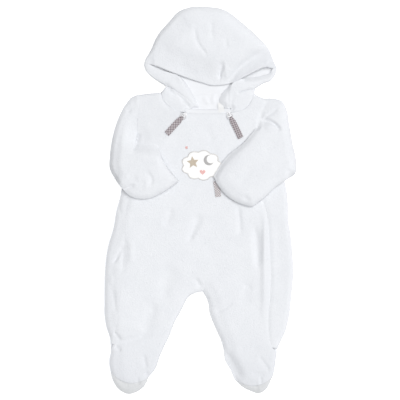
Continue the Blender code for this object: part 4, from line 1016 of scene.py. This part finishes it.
LINING_FOLDS = [
    ([(-22, 196), (-8, 190), (10, 188), (24, 192)], 4.0, 1.0, 0.3),
    ([(4, 182), (12, 174), (14, 165)], 4.0, 0.9, 0.3),
    ([(26, 190), (22, 178), (24, 166)], 3.0, 0.8, -0.3),
    ([(-6, 168), (4, 167), (16, 167.4), (29, 167)], 1.6, -0.5, 0.0),
]
def at_height(line, y):
    """The point of a rising line at this height."""
    return float(np.interp(y, [q[1] for q in line], [q[0] for q in line])), y


# a throat down to the neck, then the field up to the dome
lining_r = [(x - 0.9, y - 0.5) for x, y in pairs(SIDE_R, 2)][::-1]
lining_l = [(x + 0.9, y - 0.5) for x, y in pairs(SIDE_L, 2)][::-1]
throat_l = [(52, 152.9), (53.5, 158)] + lining_l[:4]
throat_r = [(-25, 152.8), (-15, 162), (-8, 166)] + [at_height(lining_r, q[1]) for q in lining_l[1:4]]
n_throat = steps(throat_r, throat_l)
throat = ruled(curve(throat_r, n_throat), curve(throat_l, n_throat), np.linspace(0, 1, 27))
wings = [[q for q in lining_r[::-1] if q[1] > throat_r[-1][1] + 3] + [throat_r[-1]], lining_l[3:]]
wings = [curve(w, steps(w)) for w in wings]
low_fine = np.concatenate([wings[0], throat[-1, 1:-1], wings[1]])
middle = np.array([16.0, 238.0])
drawn_in = [q + (middle - q) / np.linalg.norm(middle - q) * LINING_IN for q in np.array(DOME, float)]
high_fine = spread(drawn_in, np.linspace(0, 1, len(low_fine)))
grid = low_fine[None] + (high_fine - low_fine)[None] * np.linspace(0, 1, 60)[:, None, None]
edge_of_lining = np.concatenate([low_fine, high_fine[::-1], low_fine[:1]])


def lining_top(p):
    d = off(p, edge_of_lining, "lining")
    folds = creases(p, LINING_FOLDS) + 0.25 * noise(p, 22.0, 41) + 0.12 * noise(turned(p, 40), 9.0, 42)
    return MID + GAP / 2 + LINING + folds * smooth(d / 6.0)


lining = piece("lining_jersey", *Plan().patch(throat).patch(grid).solid(lining_top, lambda p: lining_top(p) - LINING),
               jersey, "jersey", ["hood_lining"])


# ----------------------------------------------------------- binding and label
def ribbon_strip(name, line, half, thick, z_mid, mat, slot, nodes, cols=9, round_over=0.0, fall=0.0, body="root"):
    """A strip along a line, (n, 2) points with a height each, with its two faces and its edges."""
    line = np.array(line, float)
    way = np.gradient(line, axis=0)
    way /= np.linalg.norm(way, axis=1)[:, None]
    side = np.stack([-way[:, 1], way[:, 0]], axis=1)
    f = np.linspace(-1, 1, cols)
    verts, faces = [], []
    for q, s, z in zip(line, side, z_mid):
        t = thick / 2 * (1.0 - round_over * (1 - np.sqrt(np.clip(1 - f ** 2, 0, 1))))
        verts += [(*(q + s * half * u), z - fall * u + h) for u, h in zip(f, t)]
        verts += [(*(q + s * half * u), z - fall * u - h) for u, h in zip(f[::-1], t[::-1])]
    ring = 2 * cols
    for r in range(len(line) - 1):
        for c in range(ring):
            a, b = r * ring + c, r * ring + (c + 1) % ring
            faces.append((a, b, b + ring, a + ring))
    for end in (0, len(line) - 1):
        for c in range(cols - 1):
            faces.append((end * ring + c, end * ring + c + 1, end * ring + ring - 2 - c, end * ring + ring - 1 - c))
    return piece(name, verts, faces, mat, slot, nodes, body=body, sharp=60)


bind = curve([(-25, 157.0), (-8, 155.5), (12, 154.8), (32, 155.4), (53, 157.6)], [16] * 4)
binding = ribbon_strip("binding_jersey", bind, 4.4, 3.4, np.full(len(bind), 12.1), jersey, "jersey", ["neck_binding"],
                       cols=17, round_over=0.8, fall=1.9)

satin_label, lt, ls = shader("label_satin", (0.79, 0.795, 0.80), 0.45)
at = add(lt, "ShaderNodeTexCoord").outputs["Object"]
weave = add(lt, "ShaderNodeTexWave", Scale=900.0, bands_direction="Y")
lt.links.new(at, weave.inputs["Vector"])
lb = add(lt, "ShaderNodeBump", Strength=0.3, Distance=0.00015)
lt.links.new(weave.outputs["Color"], lb.inputs["Height"])
lt.links.new(lb.outputs["Normal"], ls.inputs["Normal"])
lt.links.new(colour_mix(lt, weave.outputs["Fac"], (0.79, 0.795, 0.80), (0.75, 0.755, 0.765)), ls.inputs["Base Color"])
lab = curve([(35.2, 171), (35.6, 167), (36.4, 161), (37.0, 154.0)], [8] * 3)
lab_z = np.interp(lab[:, 1], [154.0, 158, 163, 172], [14.4, 13.2, 11.4, 10.4])
label = ribbon_strip("label_blank", lab, 5.0, 0.5, lab_z, satin_label, "label", ["neck_label"])

# ------------------------------------------------------ hardware: CAD nodes kept
enamel, et, es = shader("slider_enamel", (0.74, 0.74, 0.76), 0.3)
es.inputs["Specular IOR Level"].default_value = 0.5
es.inputs["Coat Weight"].default_value = 0.25
es.inputs["Coat Roughness"].default_value = 0.15
at = add(et, "ShaderNodeTexCoord").outputs["Object"]
worn = add(et, "ShaderNodeTexNoise", Scale=900.0, Detail=3.0)
et.links.new(at, worn.inputs["Vector"])
et.links.new(colour_mix(et, ramp(et, worn.outputs["Fac"], 0.55, 0.75), (0.76, 0.76, 0.78), (0.62, 0.62, 0.64)), es.inputs["Base Color"])
eb = add(et, "ShaderNodeBump", Strength=0.1, Distance=0.0001)
et.links.new(worn.outputs["Fac"], eb.inputs["Height"])
et.links.new(eb.outputs["Normal"], es.inputs["Normal"])

tape, tt, ts = shader("zip_tape", (0.78, 0.78, 0.80), 0.7)
at = add(tt, "ShaderNodeTexCoord").outputs["Object"]
twill = add(tt, "ShaderNodeTexWave", Scale=500.0, Distortion=0.3, bands_direction="DIAGONAL")
tt.links.new(at, twill.inputs["Vector"])
tb = add(tt, "ShaderNodeBump", Strength=0.4, Distance=0.0003)
tt.links.new(twill.outputs["Fac"], tb.inputs["Height"])
tt.links.new(tb.outputs["Normal"], ts.inputs["Normal"])
tt.links.new(colour_mix(tt, twill.outputs["Fac"], (0.78, 0.78, 0.80), (0.66, 0.66, 0.68)), ts.inputs["Base Color"])

for node, mat in (("slider_right", enamel), ("slider_left", enamel), ("pull_ring_right", enamel),
                  ("pull_ring_left", enamel), ("zip_right", tape), ("zip_left", tape)):
    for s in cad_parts[node].material_slots:
        s.material = mat


# ------------------------------------------------------------------ the ribbon
def dots(tree, at, pitch, shift, radius, blur):
    """1 inside round dots on a square grid of this pitch, in the piece's own x and y."""
    scale = add(tree, "ShaderNodeVectorMath", operation="SCALE")
    scale.inputs["Scale"].default_value = 1.0 / pitch
    tree.links.new(at, scale.inputs[0])
    move = add(tree, "ShaderNodeVectorMath", operation="ADD")
    move.inputs[1].default_value = (shift, shift, 0.0)
    tree.links.new(scale.outputs[0], move.inputs[0])
    part = add(tree, "ShaderNodeVectorMath", operation="FRACTION")
    tree.links.new(move.outputs[0], part.inputs[0])
    centre = add(tree, "ShaderNodeVectorMath", operation="SUBTRACT")
    centre.inputs[1].default_value = (0.5, 0.5, 0.0)
    tree.links.new(part.outputs[0], centre.inputs[0])
    flat = add(tree, "ShaderNodeVectorMath", operation="MULTIPLY")
    flat.inputs[1].default_value = (1.0, 1.0, 0.0)
    tree.links.new(centre.outputs[0], flat.inputs[0])
    size = add(tree, "ShaderNodeVectorMath", operation="LENGTH")
    tree.links.new(flat.outputs[0], size.inputs[0])
    n = add(tree, "ShaderNodeMapRange")
    n.inputs["From Min"].default_value, n.inputs["From Max"].default_value = radius + blur, radius - blur
    tree.links.new(size.outputs["Value"], n.inputs["Value"])
    return n.outputs["Result"]


def ribbon_material(name, dark, light):
    m, t, s = shader(name, dark, 0.6, 0.1, 0.3)
    at = add(t, "ShaderNodeTexCoord").outputs["Object"]
    one, two = dots(t, at, 0.0042, 0.0, 0.27, 0.05), dots(t, at, 0.0042, 0.5, 0.27, 0.05)
    both = add(t, "ShaderNodeMath", operation="MAXIMUM")
    t.links.new(one, both.inputs[0])
    t.links.new(two, both.inputs[1])
    rib = add(t, "ShaderNodeTexWave", Scale=1100.0, bands_direction="X", Distortion=0.2)
    t.links.new(at, rib.inputs["Vector"])
    base = colour_mix(t, both.outputs[0], dark, light)
    base = colour_mix(t, add_scaled(t, rib.outputs["Fac"], 0.25), base, tuple(c * 0.6 for c in dark))
    t.links.new(base, s.inputs["Base Color"])
    b = add(t, "ShaderNodeBump", Strength=0.5, Distance=0.00015)
    t.links.new(rib.outputs["Fac"], b.inputs["Height"])
    t.links.new(b.outputs["Normal"], s.inputs["Normal"])
    return m


houndstooth = ribbon_material("ribbon_dotted", (0.15, 0.12, 0.132), (0.66, 0.61, 0.635))
tab_weave = ribbon_material("tab_dotted", (0.38, 0.35, 0.36), (0.74, 0.70, 0.71))
thread, tht, ths = shader("thread_grey", (0.42, 0.38, 0.39), 0.6)
at = add(tht, "ShaderNodeTexCoord").outputs["Object"]
ply = add(tht, "ShaderNodeTexWave", Scale=2200.0, bands_direction="DIAGONAL")
tht.links.new(at, ply.inputs["Vector"])
tht.links.new(colour_mix(tht, ply.outputs["Fac"], (0.46, 0.42, 0.43), (0.30, 0.27, 0.28)), ths.inputs["Base Color"])

PULLS = {"right": (-27.5, 149.0, -134.0), "left": (50.5, 149.5, -62.0)}
AXIS_Z = 19.9
EX, EZ = 6.494, -1.181
RIBBON_L = 39.0


def local_piece(name, verts, faces, mat, nodes, body, x, y, z, turn, sharp=50):
    """A piece whose mesh is in the pull's own coordinates, +X along the ribbon."""
    mesh = bpy.data.meshes.new(name)
    mesh.from_pydata((np.asarray(verts) * MM).tolist(), [], faces)
    bm = bmesh.new()
    bm.from_mesh(mesh)
    bmesh.ops.remove_doubles(bm, verts=bm.verts, dist=2e-7)
    bmesh.ops.recalc_face_normals(bm, faces=bm.faces)
    if bm.calc_volume(signed=True) < 0:
        bmesh.ops.reverse_faces(bm, faces=bm.faces)
    bm.to_mesh(mesh)
    bm.free()
    mesh.shade_smooth()
    mesh.set_sharp_from_angle(angle=math.radians(sharp))
    mesh.materials.append(mat)
    obj = bpy.data.objects.new(name, mesh)
    obj.location = (x * MM, y * MM, z * MM)
    obj.rotation_euler = (0, 0, math.radians(turn))
    _root.objects.link(obj)
    bpy.context.view_layer.update()
    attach(obj, body)
    if nodes:
        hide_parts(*nodes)
    return obj


def pull_ribbon(side, sway, sag):
    x, y, turn = PULLS[side]
    tail = EX + RIBBON_L
    n = 26
    low_u = np.linspace(tail, EX + 4.2, n)
    low = np.column_stack([low_u, -2.36 + 0.35 * smooth((EX + 10 - low_u) / 6.0) + sag * np.sin((low_u - EX) * 0.16)])
    arc = np.radians(np.linspace(-50, -310, 15))
    eye = np.column_stack([EX + 1.42 * np.cos(arc), EZ + 1.42 * np.sin(arc)])
    high_u = low_u[::-1]
    high = np.column_stack([high_u, -1.52 + 0.75 * smooth((EX + 10 - high_u) / 6.0) + sag * np.sin((high_u - EX) * 0.16)])
    path = np.concatenate([low, eye, high])
    way = np.gradient(path, axis=0)
    way /= np.maximum(np.linalg.norm(way, axis=1), 1e-9)[:, None]
    nrm = np.column_stack([-way[:, 1], way[:, 0]])
    cols = 11
    f = np.linspace(-1, 1, cols)
    verts, faces = [], []
    for k, (q, m) in enumerate(zip(path, nrm)):
        wide = 5.0 * lerp(0.62, 1.0, float(smooth((q[0] - EX - 1.5) / 6.0)))
        bend = sway * max(0.0, (q[0] - EX) / RIBBON_L) ** 2
        lift = 0.10 * np.cos(f * math.pi) * (1 if k > len(path) // 2 else -0.3)
        for face in (1, -1):
            for u, l in zip(f[::face], lift[::face]):
                verts.append((q[0] + m[0] * 0.27 * face, u * wide + bend, q[1] + m[1] * 0.27 * face + l))
    ring = 2 * cols
    for r in range(len(path) - 1):
        for c in range(ring):
            a, b = r * ring + c, r * ring + (c + 1) % ring
            faces.append((a, b, b + ring, a + ring))
    for end in (0, len(path) - 1):
        for c in range(cols - 1):
            faces.append((end * ring + c, end * ring + c + 1, end * ring + ring - 2 - c, end * ring + ring - 1 - c))
    obj = local_piece("pull_ribbon_" + side, verts, faces, houndstooth, ["ribbon_" + side], "pull_" + side,
                      x, y, AXIS_Z, turn)
    # two rows of stitches through both layers
    verts, faces = [], []
    for u0 in (EX + 5.6, tail - 2.6):
        for v0 in np.linspace(-3.6, 3.6, 6):
            bend = sway * max(0.0, (u0 - EX) / RIBBON_L) ** 2
            top_z = -1.52 + 0.27 + 0.75 * float(smooth((EX + 10 - u0) / 6.0)) + 0.1
            start = len(verts)
            for k in range(7):
                s = -0.5 + k / 6
                for a in np.linspace(0, 2 * math.pi, 6, endpoint=False):
                    verts.append((u0 + 0.17 * math.cos(a), v0 + bend + 1.0 * s, top_z + 0.16 * math.sin(a) + 0.1 * (1 - (2 * s) ** 2)))
            for k in range(6):
                for c in range(6):
                    a, b = start + k * 6 + c, start + k * 6 + (c + 1) % 6
                    faces.append((a, b, b + 6, a + 6))
            faces += [tuple(start + c for c in range(6)), tuple(start + 36 + c for c in range(6))]
    local_piece("pull_stitches_" + side, verts, faces, thread, [], "pull_" + side, x, y, AXIS_Z, turn)
    return obj


pull_r = pull_ribbon("right", 0.8, 0.12)
pull_l = pull_ribbon("left", -1.2, 0.15)

# ------------------------------------------------------------- the chest patch
satin, st, ss = shader("satin_white", (0.82, 0.82, 0.815), 0.36, 0.0)
ss.inputs["Specular IOR Level"].default_value = 0.45
at = add(st, "ShaderNodeTexCoord").outputs["Object"]
float_yarn = add(st, "ShaderNodeTexWave", Scale=1300.0, bands_direction="X", Distortion=0.3)
soft = add(st, "ShaderNodeTexNoise", Scale=120.0, Detail=2.0)
for n in (float_yarn, soft):
    st.links.new(at, n.inputs["Vector"])
st.links.new(colour_mix(st, add_scaled(st, float_yarn.outputs["Fac"], 0.25), (0.825, 0.825, 0.82), (0.77, 0.765, 0.755)), ss.inputs["Base Color"])
sb = add(st, "ShaderNodeBump", Strength=0.25, Distance=0.0001)
st.links.new(float_yarn.outputs["Fac"], sb.inputs["Height"])
sb2 = add(st, "ShaderNodeBump", Strength=0.4, Distance=0.001)
st.links.new(soft.outputs["Fac"], sb2.inputs["Height"])
st.links.new(sb.outputs["Normal"], sb2.inputs["Normal"])
st.links.new(sb2.outputs["Normal"], ss.inputs["Normal"])


def embroidery(name, colour, direction):
    m, t, s = shader(name, colour, 0.45, 0.15, 0.3)
    at = add(t, "ShaderNodeTexCoord").outputs["Object"]
    rows = add(t, "ShaderNodeTexWave", Scale=640.0, bands_direction=direction, Distortion=1.2, Detail=1.0)
    t.links.new(at, rows.inputs["Vector"])
    t.links.new(colour_mix(t, rows.outputs["Fac"], tuple(c * 0.82 for c in colour), tuple(min(1, c * 1.1) for c in colour)), s.inputs["Base Color"])
    b = add(t, "ShaderNodeBump", Strength=0.6, Distance=0.0003)
    t.links.new(rows.outputs["Fac"], b.inputs["Height"])
    t.links.new(b.outputs["Normal"], s.inputs["Normal"])
    return m


stitch_white = embroidery("stitch_white", (0.72, 0.71, 0.70), "DIAGONAL")
stitch_beige = embroidery("stitch_beige", (0.60, 0.52, 0.42), "X")
stitch_grey = embroidery("stitch_grey", (0.50, 0.49, 0.49), "Y")
felt_pink = embroidery("felt_pink", (0.84, 0.50, 0.48), "DIAGONAL")


def patch_ground(p):
    """A calm height over the plush, which the patch lies on."""
    return body_plain(p) + 0.62 + 0.10 * noise(p, 24.0, 51) + 0.05 * noise(turned(p, 35), 9.0, 52)


def cloud(cx, cy, a, b, lobes, depth, n=216):
    t = 2 * np.pi * np.arange(n) / n
    r = 1.0 - depth + depth * np.abs(np.cos(lobes * t / 2))
    return np.column_stack([cx + a * r * np.cos(t), cy + b * r * np.sin(t)])


def fan(name, outline, rings, thick, mat, slot, nodes, puff=0.0, lift=0.0, middle=None):
    """A flat shape from its outline to its middle, on the patch's ground, its top raised by puff."""
    outline = np.array(outline, float)
    c = outline.mean(0) if middle is None else np.array(middle, float)
    n = len(outline)
    pts = np.concatenate([c + (outline - c) * r for r in rings] + [c[None]])
    rise = np.concatenate([np.full(n, float(over((1 - r) / 0.45))) for r in rings] + [[1.0]])
    g = patch_ground(pts) + lift
    top, low = g + thick + puff * rise, g
    count = len(pts)
    verts = np.concatenate([np.column_stack([pts, top]), np.column_stack([pts, low])])
    faces = []
    for r in range(len(rings) - 1):
        for k in range(n):
            a, b = r * n + k, r * n + (k + 1) % n
            faces.append((a, b, b + n, a + n))
            faces.append((a + count, a + n + count, b + n + count, b + count))
    last = (len(rings) - 1) * n
    for k in range(n):
        a, b = last + k, last + (k + 1) % n
        faces.append((a, b, count - 1))
        faces.append((b + count, a + count, 2 * count - 1))
        faces.append((k, k + count, (k + 1) % n + count, (k + 1) % n))
    return piece(name, verts, faces, mat, slot, nodes, sharp=60)


def cord_round(name, outline, half, height, mat, slot, lift=0.0, twist=0.0):
    """A satin-stitch edge: a low rounded ridge along a closed outline."""
    line = np.array(outline, float)
    way = np.roll(line, -1, axis=0) - np.roll(line, 1, axis=0)
    way /= np.linalg.norm(way, axis=1)[:, None]
    side = np.column_stack([-way[:, 1], way[:, 0]])
    arc = np.linspace(0, math.pi, 7)
    verts, faces = [], []
    for k, (q, s) in enumerate(zip(line, side)):
        base = float(patch_ground(q[None])[0]) + lift
        wob = 1.0 + twist * (1 if k % 2 else -1)
        verts += [(*(q + s * half * math.cos(a)), base + height * wob * math.sin(a)) for a in arc]
    n, m = len(line), len(arc)
    for k in range(n):
        for c in range(m):
            a, b = k * m + c, k * m + (c + 1) % m
            a2, b2 = ((k + 1) % n) * m + c, ((k + 1) % n) * m + (c + 1) % m
            faces.append((a, b, b2, a2))
    return piece(name, verts, faces, mat, slot)


def star(cx, cy, r, inner, turn=97.0):
    k = np.arange(10)
    a = np.radians(turn + 36 * k)
    rr = np.where(k % 2 == 0, r, r * inner)
    return np.column_stack([cx + rr * np.cos(a), cy + rr * np.sin(a)])


def heart(cx, cy, r, n=44):
    t = 2 * np.pi * (np.arange(n) + 0.5) / n
    return np.column_stack([cx + r * np.sin(t) ** 3,
                            cy + r * (13 * np.cos(t) - 5 * np.cos(2 * t) - 2 * np.cos(3 * t) - np.cos(4 * t)) / 16])


cloud_line = cloud(2, 61, 35, 26, 9, 0.13)
patch = fan("patch_satin", cloud_line, (1.0, 0.98, 0.93, 0.86, 0.77, 0.66, 0.55, 0.44, 0.33, 0.22, 0.11), 0.35, satin, "satin", ["patch_base"], middle=(2, 61))
cord_round("patch_edge", dense(np.concatenate([cloud_line, cloud_line[:1]]), 0.55)[:-1], 1.0, 0.75, stitch_white, "satin", twist=0.10)
star_line = dense(np.concatenate([star(-13, 66, 11, 0.46), star(-13, 66, 11, 0.46)[:1]]), 0.8)[:-1]
fan("patch_star_stitched", star_line, (1.0, 0.95, 0.85, 0.7, 0.5, 0.25), 0.12, stitch_beige, "beige", ["patch_star"], puff=0.45, lift=0.36, middle=(-13, 66))
heart_line = heart(4, 49, 5)
fan("patch_heart_felt", heart_line, (1.0, 0.95, 0.85, 0.7, 0.5, 0.25), 0.15, felt_pink, "pink", ["patch_heart"], puff=0.35, lift=0.36, middle=(4, 49))
dot_line = np.column_stack([-24 + 2.2 * np.cos(np.linspace(0, 2 * np.pi, 28, endpoint=False)),
                            92 + 2.2 * np.sin(np.linspace(0, 2 * np.pi, 28, endpoint=False))])
fan("patch_dot_felt", dot_line, (1.0, 0.9, 0.75, 0.5, 0.25), 0.15, felt_pink, "pink", ["patch_dot"], puff=0.5, lift=0.3, middle=(-24, 92))


def crescent(cx, cy, r, turn):
    a = np.radians(np.linspace(50, 310, 41))
    b = np.radians(np.linspace(80, 280, 41))
    arc = np.column_stack([r * np.cos(a), r * np.sin(a)])
    bite = np.column_stack([r * 0.42 + 0.80 * r * np.cos(b), 0.80 * r * np.sin(b)])
    c, s = math.cos(math.radians(turn)), math.sin(math.radians(turn))
    spin = np.array([[c, s], [-s, c]])
    arc, bite = arc @ spin + (cx, cy), bite @ spin + (cx, cy)
    f = np.linspace(0, 1, 9)
    grid = arc[:, None] + (bite - arc)[:, None] * f[None, :, None]
    flat = grid.reshape(-1, 2)
    g = patch_ground(flat) + 0.36
    edge = np.tile(np.minimum(f, 1 - f), len(a))
    ends = np.repeat(np.minimum(np.arange(41), np.arange(41)[::-1]) / 6.0, 9)
    up = g + 0.12 + 0.45 * over(edge / 0.4) * np.clip(ends, 0, 1)
    n = len(flat)
    verts = np.concatenate([np.column_stack([flat, up]), np.column_stack([flat, g])])
    faces = []
    for r_ in range(40):
        for k in range(8):
            q = (r_ * 9 + k, r_ * 9 + k + 1, (r_ + 1) * 9 + k + 1, (r_ + 1) * 9 + k)
            faces += [q, tuple(v + n for v in q[::-1])]
        for k in (0, 8):
            q = (r_ * 9 + k, (r_ + 1) * 9 + k, (r_ + 1) * 9 + k + n, r_ * 9 + k + n)
            faces.append(q)
    for r_ in (0, 40):
        for k in range(8):
            faces.append((r_ * 9 + k, r_ * 9 + k + 1, r_ * 9 + k + 1 + n, r_ * 9 + k + n))
    return piece("patch_moon_stitched", verts, faces, stitch_grey, "grey", ["patch_moon"], sharp=60)


crescent(15, 70, 9, 25)

tab_line = curve([(27.5, 33), (29, 24), (30.5, 15), (31.5, 6)], [9] * 3)
tab_z = body_plain(tab_line) + 0.95 + 0.12 * np.sin(tab_line[:, 1] * 0.5)
tab = ribbon_strip("tab_ribbon", tab_line, 5.0, 0.9, tab_z, tab_weave, "ribbon", ["ribbon_tab"], round_over=0.25)

# ---------------------------------------------------------- floor, light, camera
ground = bpy.data.meshes.new("floor")
ground.from_pydata([(-4, -4, -0.0006), (4, -4, -0.0006), (4, 4, -0.0006), (-4, 4, -0.0006)], [], [(0, 1, 2, 3)])
floor_mat, ft, fs = shader("floor_white", (0.93, 0.93, 0.93), 0.9)
fs.inputs["Specular IOR Level"].default_value = 0.0
fs.inputs["Emission Color"].default_value = (1, 1, 1, 1)
# the table's white is for the eye alone, so it doesn't light the rims from below
seen = add(ft, "ShaderNodeLightPath")
ft.links.new(add_scaled(ft, seen.outputs["Is Camera Ray"], 0.60), fs.inputs["Emission Strength"])
ground.materials.append(floor_mat)
floor = bpy.data.objects.new("floor", ground)
_root.objects.link(floor)

world = bpy.data.worlds.new("studio")
world.use_nodes = True
world.node_tree.nodes["Background"].inputs["Color"].default_value = (0.98, 0.99, 1.0, 1.0)
world.node_tree.nodes["Background"].inputs["Strength"].default_value = 0.33
bpy.context.scene.world = world

TILT, TURN = 17.0, 15.0      # the key light, from the vertical, and from +X towards +Y
key = bpy.data.lights.new("key", "SUN")
key.energy = math.pi * 0.86 / math.cos(math.radians(TILT))
key.angle = math.radians(55.0)
key.color = (1.0, 0.995, 0.985)
key_obj = bpy.data.objects.new("key", key)
key_obj.rotation_euler = (0.0, math.radians(TILT), math.radians(TURN))
_root.objects.link(key_obj)

scene = bpy.context.scene
scene.view_settings.view_transform = "Standard"
scene.view_settings.look = "None"
scene.view_settings.exposure = 0.0
scene.view_settings.gamma = 1.0
lens = bpy.data.cameras.new("camera")
lens.sensor_width = 36.0
DISTANCE = 2.4
lens.lens = 36.0 * DISTANCE / 0.700
lens.clip_start, lens.clip_end = 0.05, 30.0
cam = bpy.data.objects.new("camera", lens)
cam.location = (-0.0005, 0.0003, 0.014 + DISTANCE)
cam.rotation_euler = (0.0, 0.0, 0.0)
_root.objects.link(cam)
scene.camera = cam

bpy.context.view_layer.update()
